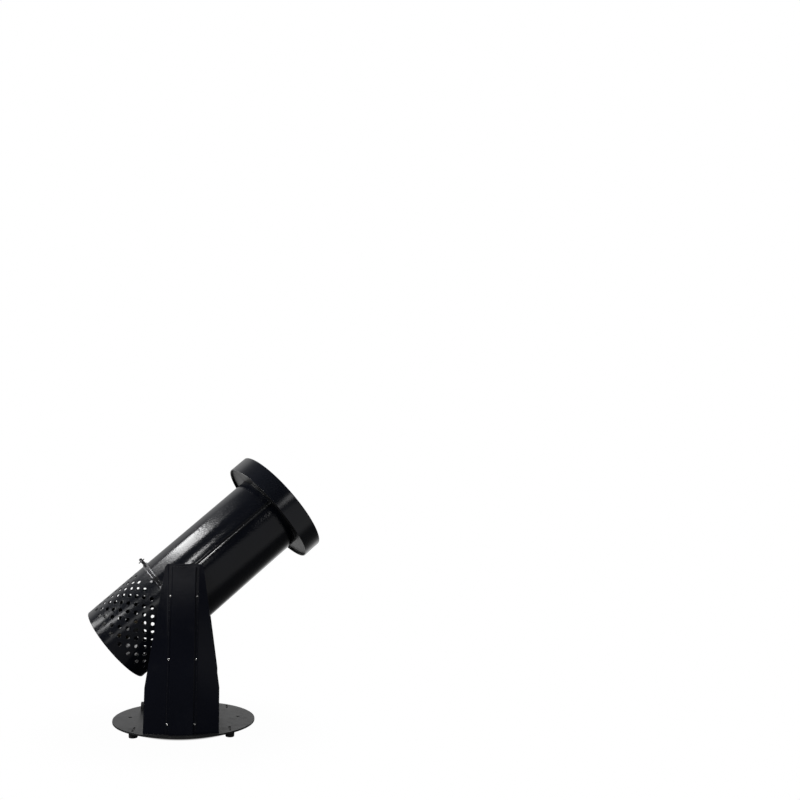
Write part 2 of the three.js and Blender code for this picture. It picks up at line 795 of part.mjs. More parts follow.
function gasInlet() {
  const collarFront = capFace - 2 * clearance - inlet.sealThickness;
  const collarRear = collarFront - inlet.collarLength;
  const shankFront = capFront + inlet.shankLength;
  const noseFront = shankFront + inlet.noseLength;
  const spigotEnd = collarRear - inlet.spigotLength;
  const { bore, spigotRadius, collarRadius, shankRadius, noseRadius } = inlet;
  const profile = [
    [bore, spigotEnd], [spigotRadius, spigotEnd], [spigotRadius, collarRear], [collarRadius, collarRear],
    [collarRadius, collarFront], [shankRadius, collarFront], [shankRadius, shankFront],
    [noseRadius, shankFront], [noseRadius, noseFront], [bore, noseFront], [bore, spigotEnd],
  ];
  return piece('gas_inlet', turnedOnBarrel(profile, sides.bush), brass);
}

function inletSeal() {
  const front = capFace - clearance;
  const rear = front - inlet.sealThickness;
  const profile = ringProfile(inlet.shankRadius + clearance, inlet.collarRadius, rear, front);
  return piece('inlet_seal', turnedOnBarrel(profile, sides.bush), rubber);
}

function inletLocknut() {
  const bore = polygon(inlet.shankRadius + clearance, sides.bush);
  const nut = extrude(polygon(inlet.nutRadius, 6), inlet.nutLength, [bore])
    .rotateY(Math.PI / 2)
    .translate(capFront + clearance, 0, 0);
  return piece('inlet_locknut', nut, brass);
}

function nozzlePipe() {
  const profile = ringProfile(inlet.noseRadius + clearance, nozzle.pipeRadius, pipeRear, pipeFront);
  return piece('nozzle_pipe', turnedOnBarrel(profile, sides.bush), zincSteel);
}

function nozzleTip() {
  const { tipBore, tipCollar, tipRadius } = nozzle;
  const seat = pipeFront + clearance;
  const rear = seat - nozzle.plug;
  const collarFront = seat + nozzle.tipCollarLength;
  const front = collarFront + nozzle.tipLength;
  const profile = [
    [tipBore, rear], [inlet.noseRadius, rear], [inlet.noseRadius, seat], [tipCollar, seat],
    [tipCollar, collarFront], [tipRadius, front], [tipBore, front], [tipBore, rear],
  ];
  return piece('nozzle_tip', turnedOnBarrel(profile, sides.bush), brass);
}

// Barrel: pivots, made on the near side with outwards towards -Y

function pivotSaddle(name) {
  const inner = barrel.radius + clearance;
  const outer = inner + saddle.thickness;
  const half = saddle.length / 2;
  const sheet = solid(turnedOnBarrel(ringProfile(inner, outer, -half, half)));
  const wide = saddle.width / 2;
  const window = box([-saddle.length, saddle.length], [-outer - overrun, 0], [-wide, wide]);
  const boss = rodY(saddle.bossRadius, -inner + saddle.thickness, -bossEnd, sides.boss);
  const core = turnedOnBarrel([[0, -saddle.length], [inner, -saddle.length], [inner, saddle.length],
    [0, saddle.length]]);
  const bore = rodY(pivotBore, -bossEnd - overrun, -bossEnd + saddle.boreDepth, sides.bush);
  const body = sheet.intersect(solid(window)).add(solid(boss)).subtract(solid(core)).subtract(solid(bore));
  return piece(name, geometryOf(body), blackPaint);
}

function pivotWasher(name, seat) {
  const profile = ringProfile(pivotBore, pivot.washerRadius, -seat - pivot.washerThickness, -seat);
  return piece(name, turned(profile, sides.bush), zincSteel);
}

function pivotScrew(name) {
  const { screwRadius: radius, headRadius, headHeight, screwReach } = pivot;
  const grip = screwSeat - bossEnd + screwReach;
  const screw = fastener({ radius, headRadius, headHeight, grip }).translate(0, -screwSeat, 0);
  return piece(name, screw, zincSteel);
}

function knobSpacer() {
  const [seat, end] = [hubEnd + clearance, channelFace + knob.spacerStandOut];
  const profile = ringProfile(pivotBore, knob.spacerRadius, -end, -seat);
  return piece('knob_spacer', turned(profile, sides.bush), zincSteel);
}

// A lobed clamp knob with its stud
function tiltKnob() {
  const seat = channelFace + knob.spacerStandOut + pivot.washerThickness + 2 * clearance;
  const count = knob.lobes * knob.lobeSides;
  const outline = Array.from({ length: count }, (_, i) => {
    const angle = (2 * Math.PI * i) / count;
    const radius = knob.headRadius - knob.lobeDepth / 2 * (1 - Math.cos(knob.lobes * angle));
    return new THREE.Vector2(radius * Math.cos(angle), radius * Math.sin(angle));
  });
  const from = seat + knob.hubLength;
  const head = new THREE.ExtrudeGeometry(new THREE.Shape(outline), {
    depth: knob.headLength - 2 * knob.rounding,
    bevelThickness: knob.rounding,
    bevelSize: knob.rounding,
    bevelOffset: -knob.rounding,
    bevelSegments: 1,
  }).rotateX(Math.PI / 2).translate(0, -from - knob.rounding, 0);
  const hub = rodY(knob.hubRadius, -seat, -from - knob.headLength / 2, sides.bush);
  const stud = rodY(pivot.screwRadius, -bossEnd + pivot.screwReach, -seat - knob.hubLength, sides.fastener);
  return piece('tilt_knob', join(head, hub, stud), plastic);
}

function barrelGroup() {
  const group = new THREE.Group();
  group.add(
    barrelTube(), barrelSeam(), muzzleRing(), muzzleBackPlate(),
    intakeDrum(), jointSleeve(), ...drumScrews(), confettiScreen(),
    clampBand(), clampBolt(), clampWingNut(),
    intakeEndCap(), gasInlet(), inletSeal(), inletLocknut(), nozzlePipe(), nozzleTip(),
    pivotSaddle('pivot_saddle_near'), pivotWasher('pivot_washer_near', hubEnd + clearance),
    pivotScrew('pivot_screw_near'),
  );
  const farPivot = new THREE.Group();
  const knobWasherSeat = channelFace + knob.spacerStandOut + clearance;
  farPivot.add(
    pivotSaddle('pivot_saddle_far'), knobSpacer(), pivotWasher('knob_washer', knobWasherSeat), tiltKnob(),
  );
  farPivot.rotation.z = Math.PI;
  group.add(farPivot);
  group.position.z = pivotHeight;
  group.rotation.y = -restTilt;
  return group;
}

const blower = new THREE.Group();
blower.add(basePlate(), ...feet(), hoseClipBody(), ...baseScrews());
blower.add(standSide('near'), standSide('far'));
blower.add(barrelGroup());

export default blower;
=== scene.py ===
import math

import bmesh
import bpy
from mathutils import Matrix, Quaternion, Vector


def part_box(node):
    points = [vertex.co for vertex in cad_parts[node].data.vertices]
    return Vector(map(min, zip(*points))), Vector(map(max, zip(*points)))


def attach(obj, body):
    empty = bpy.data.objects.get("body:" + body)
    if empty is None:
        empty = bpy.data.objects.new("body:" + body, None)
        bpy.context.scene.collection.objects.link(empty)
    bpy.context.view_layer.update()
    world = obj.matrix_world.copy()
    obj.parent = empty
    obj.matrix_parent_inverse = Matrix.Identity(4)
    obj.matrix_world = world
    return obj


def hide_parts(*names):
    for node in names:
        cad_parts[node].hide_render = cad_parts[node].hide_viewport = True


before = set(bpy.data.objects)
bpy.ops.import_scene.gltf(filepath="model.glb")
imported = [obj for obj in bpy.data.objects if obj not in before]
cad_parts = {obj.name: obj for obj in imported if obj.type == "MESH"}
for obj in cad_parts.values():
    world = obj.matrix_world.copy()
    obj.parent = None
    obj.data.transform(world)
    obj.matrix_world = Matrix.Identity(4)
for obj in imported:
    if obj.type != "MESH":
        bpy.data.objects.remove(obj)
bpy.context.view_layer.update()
print("frame loaded,", len(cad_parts), "nodes")

# Lengths in the dictionaries are in millimetres and angles in degrees
metre = 0.001
tiltAxis = Matrix.Translation((0, 0, 322.5))
barrelPlace = tiltAxis @ Matrix.Rotation(math.radians(-41.5), 4, "Y")  # X runs along the barrel
upwards = Matrix.Rotation(math.radians(-90), 4, "Y")  # turns X to Z


class Wire:
    # a node's output; sums on it become Math nodes
    def __init__(self, finish, socket):
        self.finish = finish
        self.socket = socket

    def __add__(self, other):
        return self.finish.maths("ADD", self, other)

    def __radd__(self, other):
        return self.finish.maths("ADD", other, self)

    def __sub__(self, other):
        return self.finish.maths("SUBTRACT", self, other)

    def __rsub__(self, other):
        return self.finish.maths("SUBTRACT", other, self)

    def __mul__(self, other):
        return self.finish.maths("MULTIPLY", self, other)

    def __rmul__(self, other):
        return self.finish.maths("MULTIPLY", other, self)


class Finish:
    def __init__(self, owner, end="ShaderNodeOutputMaterial"):
        self.owner = owner
        self.owner.use_nodes = True
        self.tree = self.owner.node_tree
        self.tree.nodes.clear()
        self.end = self.tree.nodes.new(end)

    def add(self, kind, settings=None, values=None, output=0):
        node = self.tree.nodes.new(kind)
        for key, value in (settings or {}).items():
            if key == "stops":
                self.setStops(node.color_ramp, value)
            else:
                setattr(node, key, value)
        for key, value in (values or {}).items():
            self.feed(node.inputs[key], value)
        return Wire(self, node.outputs[output])

    def feed(self, socket, value):
        if isinstance(value, Wire):
            self.tree.links.new(value.socket, socket)
        else:
            socket.default_value = value

    def setStops(self, ramp, stops):
        while len(ramp.elements) > 1:
            ramp.elements.remove(ramp.elements[-1])
        for i, (place, colour) in enumerate(stops):
            element = ramp.elements[0] if i == 0 else ramp.elements.new(place)
            element.position = place
            element.color = (*colour, 1)

    def maths(self, operation, first, second=0.0):
        return self.add("ShaderNodeMath", {"operation": operation}, {0: first, 1: second})

    def point(self, stretch=(1, 1, 1)):
        place = self.add("ShaderNodeTexCoord", output="Object")
        if stretch == (1, 1, 1):
            return place
        return self.add("ShaderNodeVectorMath", {"operation": "MULTIPLY"}, {0: place, 1: stretch})

    def noise(self, size, detail=2.0, rough=0.5, stretch=(1, 1, 1)):
        # size is the width of one patch in millimetres
        values = {"Vector": self.point(stretch), "Scale": 1000 / size, "Detail": detail, "Roughness": rough}
        return self.add("ShaderNodeTexNoise", None, values)

    def cells(self, size):
        values = {"Vector": self.point(), "Scale": 1000 / size}
        return self.add("ShaderNodeTexVoronoi", None, values, "Distance")

    def step(self, value, low, high):
        # 0 below low, 1 above high, smooth between
        settings = {"interpolation_type": "SMOOTHSTEP"}
        return self.add("ShaderNodeMapRange", settings, {"Value": value, "From Min": low, "From Max": high})

    def blend(self, mask, first, second):
        colours = [c if isinstance(c, Wire) else (*c, 1) for c in (first, second)]
        return self.add("ShaderNodeMix", {"data_type": "RGBA"}, {0: mask, 6: colours[0], 7: colours[1]}, 2)

    def edge(self):
        # 1 on the rounded edges of a piece, 0 elsewhere
        return self.add("ShaderNodeAttribute", {"attribute_name": "edge"}, output="Fac")

    def bump(self, height, depth, under=None):
        # depth is the height's reach in millimetres
        values = {"Height": height, "Distance": depth * metre, "Strength": 1.0}
        if under:
            values["Normal"] = under
        return self.add("ShaderNodeBump", None, values)

    def seen(self, glossy=1.0):
        # 1 for rays that show the background: the camera's, those through glass and those off gloss
        kinds = ("Camera", "Transmission", "Glossy")
        camera, through, gloss = (self.add("ShaderNodeLightPath", output=f"Is {kind} Ray") for kind in kinds)
        return self.maths("MAXIMUM", self.maths("MAXIMUM", camera, through), gloss * glossy)

    def principled(self, **sockets):
        names = {
            "colour": "Base Color", "rough": "Roughness", "metal": "Metallic", "normal": "Normal",
            "specular": "Specular IOR Level",
        }
        values = {names[key]: (*v, 1) if isinstance(v, tuple) else v for key, v in sockets.items()}
        return self.show(self.add("ShaderNodeBsdfPrincipled", None, values))

    def show(self, shader):
        self.tree.links.new(shader.socket, self.end.inputs["Surface"])
        return self.owner


def shaded(colour, share):
    return tuple(min(1, c * share) for c in colour)


# peel is the orange peel of the paint; rub is the share of an edge that is worn everywhere
paintValues = {
    "gloss": {
        "colour": (0.0021, 0.0026, 0.0044), "worn": (0.05, 0.049, 0.048), "dust": (0.02, 0.02, 0.02),
        "rough": 0.14, "peelSize": 4.5, "peelDepth": 0.22, "grainDepth": 0.004, "specular": 0.2,
        "wear": 0.56, "dustShare": 0.06, "rub": 0.0,
    },
    "even": {
        "colour": (0.0028, 0.0034, 0.0054), "worn": (0.05, 0.049, 0.048), "dust": (0.02, 0.02, 0.02),
        "rough": 0.17, "peelSize": 3.0, "peelDepth": 0.05, "grainDepth": 0.004, "specular": 0.24,
        "wear": 0.56, "dustShare": 0.06, "rub": 0.0,
    },
    # the seam's rub pales the stripe along its crest: partly wear, partly a painted highlight line
    "seam": {
        "colour": (0.003, 0.0033, 0.004), "worn": (0.05, 0.049, 0.048), "dust": (0.02, 0.02, 0.02),
        "rough": 0.14, "peelSize": 3.4, "peelDepth": 0.03, "grainDepth": 0.004, "specular": 0.5,
        "wear": 0.56, "dustShare": 0.06, "rub": 0.1,
    },
    "sheet": {
        "colour": (0.0023, 0.0028, 0.0054), "worn": (0.05, 0.049, 0.048), "dust": (0.02, 0.02, 0.02),
        "rough": 0.18, "peelSize": 2.6, "peelDepth": 0.045, "grainDepth": 0.006, "specular": 0.1,
        "wear": 0.58, "dustShare": 0.08, "rub": 0.3,
    },
    "satin": {
        "colour": (0.009, 0.0092, 0.0098), "worn": (0.08, 0.079, 0.077), "dust": (0.045, 0.044, 0.043),
        "rough": 0.42, "peelSize": 2.0, "peelDepth": 0.012, "grainDepth": 0.01, "specular": 0.2,
        "wear": 0.58, "dustShare": 0.12, "rub": 0.05,
    },
}

# what all the paints share: the sizes of their marks in millimetres, and how much each mark does
paintMarks = {
    "shadeSize": 90, "dark": 0.75, "light": 1.3, "wearSize": 7, "wearRough": 0.25, "dustSize": 42,
    "dustRough": 0.9, "smearSize": 16, "smearRough": 0.09, "grainSize": 0.9, "pitSize": 11, "pitDepth": 0.05,
}


def paint(name, v):
    finish = Finish(bpy.data.materials.new(name))
    marks = paintMarks
    broad = finish.noise(marks["shadeSize"], 3)
    fine = finish.noise(marks["wearSize"], 4, 0.6)
    dust = finish.step(finish.noise(marks["dustSize"], 5, 0.62), 0.52, 0.78) * v["dustShare"]
    worn = finish.edge() * (finish.step(fine, v["wear"], v["wear"] + 0.1) * (1 - v["rub"]) + v["rub"])
    shade = finish.blend(broad, shaded(v["colour"], marks["dark"]), shaded(v["colour"], marks["light"]))
    colour = finish.blend(worn, finish.blend(dust, shade, v["dust"]), v["worn"])
    smear = finish.noise(marks["smearSize"], 4, 0.55, (1, 1, 2.5)) - 0.5
    rough = v["rough"] + smear * marks["smearRough"] + dust * marks["dustRough"] + worn * marks["wearRough"]
    peel = finish.bump(finish.noise(v["peelSize"], 2, 0.55), v["peelDepth"])
    grain = finish.bump(finish.noise(marks["grainSize"], 2), v["grainDepth"], peel)
    pits = finish.bump(finish.step(finish.cells(marks["pitSize"]), 0.0, 0.07), marks["pitDepth"], grain)
    return finish.principled(colour=colour, rough=rough, normal=pits, specular=v["specular"])


metalValues = {
    "bandSteel": {
        "colour": (0.12, 0.12, 0.125), "dark": (0.04, 0.04, 0.042), "rough": 0.1, "grain": (9, 1, 1),
        "grainSize": 9.0, "grainDepth": 0.002, "stain": 0.06, "spangle": 0.0,
    },
    "brightSteel": {
        "colour": (0.58, 0.58, 0.57), "dark": (0.3, 0.3, 0.29), "rough": 0.2, "grain": (1, 9, 9),
        "grainSize": 4.0, "grainDepth": 0.012, "stain": 0.25, "spangle": 0.3,
    },
    "zincSteel": {
        "colour": (0.3, 0.3, 0.305), "dark": (0.13, 0.13, 0.133), "rough": 0.34, "grain": (1, 1, 1),
        "grainSize": 1.4, "grainDepth": 0.01, "stain": 0.45, "spangle": 0.6,
    },
    "brass": {
        "colour": (0.12, 0.095, 0.06), "dark": (0.035, 0.029, 0.02), "rough": 0.36, "grain": (9, 1, 1),
        "grainSize": 5.0, "grainDepth": 0.008, "stain": 0.8, "spangle": 0.1,
    },
}

metalMarks = {
    "stainSize": 9, "stainRough": 0.35, "stainDull": 0.5, "spangleSize": 3.5, "edgeShare": 0.35,
    "edgeLight": 1.5, "grainRough": 0.12, "fineSize": 0.7, "fineDepth": 0.004,
}


def metal(name, v):
    finish = Finish(bpy.data.materials.new(name))
    marks = metalMarks
    stain = finish.step(finish.noise(marks["stainSize"], 5, 0.65), 0.42, 0.72) * v["stain"]
    tone = finish.blend(finish.cells(marks["spangleSize"]) * v["spangle"], v["colour"], v["dark"])
    colour = finish.blend(stain, tone, v["dark"])
    bright = finish.edge() * marks["edgeShare"]
    colour = finish.blend(bright, colour, shaded(v["colour"], marks["edgeLight"]))
    lines = finish.noise(v["grainSize"], 3, 0.6, v["grain"])
    rough = v["rough"] + (lines - 0.5) * marks["grainRough"] + stain * marks["stainRough"]
    fine = finish.bump(finish.noise(marks["fineSize"], 2), marks["fineDepth"])
    normal = finish.bump(lines, v["grainDepth"], fine)
    return finish.principled(colour=colour, rough=rough, metal=1 - stain * marks["stainDull"], normal=normal)


mouldedValues = {
    "rubber": {
        "colour": (0.013, 0.013, 0.0135), "pale": (0.05, 0.049, 0.047), "rough": 0.68, "size": 0.8,
        "depth": 0.03, "share": 0.5,
    },
    "plastic": {
        "colour": (0.011, 0.011, 0.012), "pale": (0.045, 0.045, 0.046), "rough": 0.42, "size": 0.6,
        "depth": 0.02, "share": 0.25,
    },
}

mouldedMarks = {
    "dustSize": 12, "dustRough": 0.25, "rubSize": 3, "rubShare": 0.5, "rubSmooth": 0.2, "smearSize": 5,
    "smearRough": 0.1, "waveSize": 14, "waveDepth": 0.06, "specular": 0.4,
}


def moulded(name, v):
    finish = Finish(bpy.data.materials.new(name))
    marks = mouldedMarks
    dust = finish.step(finish.noise(marks["dustSize"], 5, 0.6), 0.45, 0.8) * v["share"]
    rubbed = finish.edge() * finish.step(finish.noise(marks["rubSize"], 3), 0.45, 0.62) * marks["rubShare"]
    colour = finish.blend(dust, v["colour"], v["pale"])
    colour = finish.blend(rubbed, colour, v["pale"])
    smear = finish.noise(marks["smearSize"], 3) - 0.5
    rough = v["rough"] + dust * marks["dustRough"] + smear * marks["smearRough"] - rubbed * marks["rubSmooth"]
    wave = finish.bump(finish.noise(marks["waveSize"], 2), marks["waveDepth"])
    normal = finish.bump(finish.noise(v["size"], 2), v["depth"], wave)
    return finish.principled(colour=colour, rough=rough, normal=normal, specular=marks["specular"])


finishes = {
    **{name: paint(f"{name}BlackPaint", v) for name, v in paintValues.items()},
    **{name: metal(name, v) for name, v in metalValues.items()},
    **{name: moulded(name, v) for name, v in mouldedValues.items()},
}
print("finishes made:", ", ".join(finishes))


def newMesh():
    bm = bmesh.new()
    bm.faces.layers.float.new("edge")
    return bm


def addFace(bm, corners, edge=0.0):
    face = bm.faces.new(list(dict.fromkeys(corners)))
    face.smooth = True
    face[bm.faces.layers.float["edge"]] = edge
    return face


def softened(points, radius, steps=3):
    # rounds the corners of a closed outline; a third number in a point is its own radius
    made = []
    for i, point in enumerate(points):
        here = Vector(point[:2])
        size = point[2] if len(point) > 2 else radius
        before = Vector(points[i - 1][:2]) - here
        after = Vector(points[(i + 1) % len(points)][:2]) - here
        angle = before.angle(after)
        if size <= 0 or here.y == 0 or angle > math.radians(172):
            made.append((here.x, here.y, 0.0))
            continue
        back = min(size / math.tan(angle / 2), 0.48 * before.length, 0.48 * after.length)
        start, end = here + before.normalized() * back, here + after.normalized() * back
        for k in range(steps + 1):
            t = k / steps
            spot = start * (1 - t) ** 2 + here * 2 * t * (1 - t) + end * t**2
            made.append((spot.x, spot.y, 1.0 if k < steps else 0.0))
    return made


def addLathe(bm, profile, count=96, place=None, first=0.0, last=360.0):
    # turns (along, radius, edge) about X; the angle runs from -Y towards Z
    whole = last - first > 359.9
    place = place or Matrix.Identity(4)
    steps = [math.radians(first + (last - first) * j / count) for j in range(count + (0 if whole else 1))]
    rings = []
    for along, radius, _ in profile:
        turns = steps if radius > 1e-6 else [0.0]
        spots = [Vector((along, -radius * math.cos(a), radius * math.sin(a))) for a in turns]
        rings.append([bm.verts.new(place @ spot) for spot in spots])
    for i, (_, _, edge) in enumerate(profile):
        one, two = rings[i], rings[(i + 1) % len(rings)]
        if len(one) == 1 and len(two) == 1:
            continue
        for j in range(count):
            k = (j + 1) % len(steps)
            corners = [one[j % len(one)], two[j % len(two)], two[k % len(two)], one[k % len(one)]]
            addFace(bm, corners, edge)
    if not whole:
        for j in (0, -1):
            addFace(bm, [ring[j] for ring in rings])


def addPrism(bm, outline, low, high, radius=0.5, place=None):
    # an outline in X and Y, from low to high along Z, with rounded edges
    place = place or Matrix.Identity(4)
    steps = 3
    levels = []
    for side, end in ((1, low), (-1, high)):
        for k in range(steps + 1):
            a = math.pi / 2 * k / steps
            inset, rise = radius * (1 - math.sin(a)), radius * (1 - math.cos(a))
            levels.append((inset, end + side * rise, 1.0))
        if side > 0:
            levels[-1] = (0.0, low + radius, 0.0)
        else:
            levels[-(steps + 1):] = levels[-(steps + 1):][::-1]
    count = len(outline)
    rings = []
    for inset, height, _ in levels:
        ring = []
        for i in range(count):
            here, before, after = (Vector(outline[j % count][:2]) for j in (i, i - 1, i + 1))
            side = (after - before).normalized()
            spot = Vector((here.x - side.y * inset, here.y + side.x * inset, height))
            ring.append(bm.verts.new(place @ spot))
        rings.append(ring)
    for i in range(len(rings) - 1):
        for j in range(count):
            k = (j + 1) % count
            addFace(bm, [rings[i][j], rings[i][k], rings[i + 1][k], rings[i + 1][j]], levels[i][2])
    addFace(bm, rings[0][::-1])
    addFace(bm, rings[-1])


def roundedBox(x, y, radius, steps=4):
    # outline of a rectangle with round corners, anticlockwise
    (left, right), (low, high) = x, y
    made = []
    for cx, cy, start in (
        (right - radius, low + radius, -90), (right - radius, high - radius, 0),
        (left + radius, high - radius, 90), (left + radius, low + radius, 180),
    ):
        for k in range(steps + 1):
            a = math.radians(start + 90 * k / steps)
            made.append((cx + radius * math.cos(a), cy + radius * math.sin(a)))
    return made


def addBead(bm, spots, outward, radius, ripple, every):
    # a weld bead along spots; outward gives the way up at each of them
    rings = []
    for i, spot in enumerate(spots):
        ahead = (spots[min(i + 1, len(spots) - 1)] - spots[max(i - 1, 0)]).normalized()
        up = outward[i]
        across = ahead.cross(up).normalized()
        taper = min(1.0, 0.35 + 0.25 * min(i, len(spots) - 1 - i))
        size = radius * taper * (1 + ripple * math.cos(2 * math.pi * i / every))
        rings.append(
            [
                bm.verts.new(spot + across * size * math.cos(a) + up * size * 0.75 * math.sin(a))
                for a in (math.radians(45 * k) for k in range(8))
            ]
        )
    for one, two in zip(rings, rings[1:]):
        for j in range(8):
            k = (j + 1) % 8
            addFace(bm, [one[j], one[k], two[k], two[j]])
    addFace(bm, rings[0])
    addFace(bm, rings[-1])


def addThread(bm, radius, low, high, pitch, place):
    # a screw thread along X
    count, perTurn = 20, 8
    rows = int((high - low) / pitch * perTurn)
    rings = []
    for i in range(rows + 1):
        along = low + (high - low) * i / rows
        ring = []
        for j in range(count):
            a = 2 * math.pi * j / count
            wave = 0.5 - 0.5 * math.cos(2 * math.pi * (along / pitch) - a)
            r = radius - 0.13 * radius * wave
            ring.append(bm.verts.new(place @ Vector((along, -r * math.cos(a), r * math.sin(a)))))
        rings.append(ring)
    for one, two in zip(rings, rings[1:]):
        for j in range(count):
            k = (j + 1) % count
            addFace(bm, [one[j], one[k], two[k], two[j]])
    addFace(bm, rings[0])
    addFace(bm, rings[-1])


def weighNormals(mesh, sharp):
    # each corner leans on the largest faces round it, so that flat faces stay flat
    around = [[] for _ in mesh.vertices]
    for face in mesh.polygons:
        normal, area = face.normal.copy(), face.area
        for vertex in face.vertices:
            around[vertex].append((normal, area))
    limit = math.cos(math.radians(sharp))
    normals = []
    for face in mesh.polygons:
        own = face.normal.copy()
        for vertex in face.vertices:
            total = Vector()
            for normal, area in around[vertex]:
                if normal.dot(own) > limit:
                    total += normal * area
            normals.append(total.normalized() if total.length > 0 else own)
    mesh.normals_split_custom_set(normals)


def finishPiece(bm, name, body, finishName, nodes, place=None, sharp=38):
    bmesh.ops.recalc_face_normals(bm, faces=bm.faces)
    bm.transform(Matrix.Scale(metre, 4) @ (place or Matrix.Identity(4)))
    mesh = bpy.data.meshes.new(name)
    bm.to_mesh(mesh)
    bm.free()
    weighNormals(mesh, sharp)
    mesh.materials.append(finishes[finishName])
    piece = bpy.data.objects.new(name, mesh)
    bpy.context.scene.collection.objects.link(piece)
    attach(piece, body)
    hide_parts(*nodes)
    return piece


def softCopy(node, width, folds=None, foldWidth=0.0, finishName="satin", body="stand"):
    # the node's own shape with rounded edges; folds picks the edges of sheet bends
    bm = newMesh()
    bm.from_mesh(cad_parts[node].data)
    bm.transform(Matrix.Scale(1 / metre, 4))
    layer = bm.faces.layers.float.get("edge") or bm.faces.layers.float.new("edge")
    bmesh.ops.remove_doubles(bm, verts=bm.verts, dist=0.002)
    bmesh.ops.dissolve_limit(
        bm, angle_limit=math.radians(0.6), verts=bm.verts, edges=bm.edges, delimit={"NORMAL"}
    )
    for face in bm.faces:
        face.smooth = True
    if folds:
        picked = [e for e in bm.edges if folds(*(v.co for v in e.verts))]
        bmesh.ops.bevel(
            bm, geom=picked, offset=foldWidth, segments=4, profile=0.5, affect="EDGES", clamp_overlap=True
        )
    picked = [e for e in bm.edges if len(e.link_faces) == 2 and e.calc_face_angle(0) > math.radians(33)]
    made = bmesh.ops.bevel(
        bm, geom=picked, offset=width, segments=2, profile=0.6, affect="EDGES", clamp_overlap=True
    )
    for face in made["faces"]:
        face[layer] = 1.0
        face.smooth = True
    return finishPiece(bm, node + "_edged", body, finishName, [node])


tube = {"rear": -47.35, "front": 274, "radius": 100, "wall": 1.5, "edge": 0.5}


def makeTube(v):
    bm = newMesh()
    inner = v["radius"] - v["wall"]
    corners = [(v["rear"], inner), (v["rear"], v["radius"]), (v["front"], v["radius"]), (v["front"], inner)]
    addLathe(bm, softened(corners, v["edge"]), 192)
    return finishPiece(bm, "barrel_tube_smooth", "barrel", "gloss", ["barrel_tube"], barrelPlace)


# a lap of the tube's sheet: full height below, a rounded step near the middle and the thin edge above
seamStrip = {
    "from": 31, "to": 271, "angle": 6, "width": 10, "low": 100.05, "top": 101.6, "thin": 100.12,
    "step": -5.2, "round": 6.8, "bend": 0.4, "depth": 0.4, "wornHighlightAt": -1.4, "wornHighlightHalf": 0.5,
    "rows": 80, "columns": 41, "column": 0.225,
}


def seamHeight(v, x):
    # the strip's radius at x mm above its middle
    half = v["width"] / 2
    turned = min(max(0.0, x - v["step"]), v["round"])
    radius = max(v["thin"], v["top"] - v["round"] + math.sqrt(v["round"] ** 2 - turned**2))
    shoulder = max(0.0, 1 - (half - abs(x)) / v["bend"])
    return v["low"] + (radius - v["low"]) * math.sqrt(1 - shoulder**2)


def makeSeam(v):
    bm = newMesh()
    half = v["width"] / 2
    places = [-half + v["bend"] * (1 - math.cos(math.pi / 2 * k / 5)) for k in range(5)]
    places += [-half + v["bend"] + v["column"] * k for k in range(v["columns"])]
    places += [half - v["bend"] / 2, half]
    under = v["low"] - v["depth"]
    across = [(x, seamHeight(v, x)) for x in places] + [(half, under), (-half, under)]
    rings = []
    for i in range(v["rows"] + 1):
        along = v["from"] + (v["to"] - v["from"]) * i / v["rows"]
        ring = []
        for x, radius in across:
            a = math.radians(v["angle"]) + x / v["low"]
            ring.append(bm.verts.new((along, -radius * math.cos(a), radius * math.sin(a))))
        rings.append(ring)
    for one, two in zip(rings, rings[1:]):
        for j, (x, _) in enumerate(across):
            k = (j + 1) % len(one)
            # a pale worn stripe along the crest, partly wear and partly a painted highlight line
            edge = 1.0 if abs(x - v["wornHighlightAt"]) < v["wornHighlightHalf"] else 0.0
            addFace(bm, [one[j], one[k], two[k], two[j]], edge)
    addFace(bm, rings[0])
    addFace(bm, rings[-1])
    return finishPiece(bm, "barrel_seam_strip", "barrel", "seam", ["barrel_seam"], barrelPlace)


muzzleRingValues = {
    "radius": 143.5, "wall": 2, "rear": 266, "front": 313, "turnIn": 8, "edge": 0.8, "mouthEdge": 2.2,
    "insideEdge": 0.4,
}


def makeMuzzleRing(v):
    bm = newMesh()
    inside, turned = v["radius"] - v["wall"], v["radius"] - v["turnIn"]
    corners = [
        (v["rear"], inside), (v["rear"], v["radius"]), (v["front"], v["radius"], v["mouthEdge"]),
        (v["front"], turned), (v["front"] - v["wall"], turned),
        (v["front"] - v["wall"], inside, v["insideEdge"]),
    ]
    addLathe(bm, softened(corners, v["edge"], 4), 224)
    return finishPiece(bm, "muzzle_ring_smooth", "barrel", "even", ["muzzle_ring"], barrelPlace)


backPlate = {
    "inner": 100.3, "outer": 141.2, "rear": 272, "front": 274, "edge": 0.4,
    "stitches": [(18, 46), (108, 136), (198, 226), (288, 316)],  # where the weld runs, in degrees
    "bead": 1.7, "beadBehind": 0.2, "beadPerDegree": 2.2, "ripple": 0.1, "rippleEvery": 3,
}


def makeBackPlate(v):
    bm = newMesh()
    rear, front, inner, outer = v["rear"], v["front"], v["inner"], v["outer"]
    addLathe(bm, softened([(rear, inner), (rear, outer), (front, outer), (front, inner)], v["edge"]), 192)
    for first, last in v["stitches"]:
        count = int((last - first) * v["beadPerDegree"])
        spots, ways = [], []
        for i in range(count + 1):
            a = math.radians(first + (last - first) * i / count)
            ways.append(Vector((-1, -math.cos(a), math.sin(a))).normalized())
            spots.append(Vector((rear - v["beadBehind"], -inner * math.cos(a), inner * math.sin(a))))
        addBead(bm, spots, ways, v["bead"], v["ripple"], v["rippleEvery"])
    return finishPiece(bm, "muzzle_back_plate_welded", "barrel", "satin", ["muzzle_back_plate"], barrelPlace)


drum = {
    "rear": -225, "front": -47.65, "radius": 100, "wall": 1.5, "rings": 11, "perRing": 21, "hole": 4.6,
    "pitch": 11.7, "middle": -141.5, "firstAngle": 2.4, "edge": 0.4, "rimEdge": 0.55, "cornerTurn": -120,
}


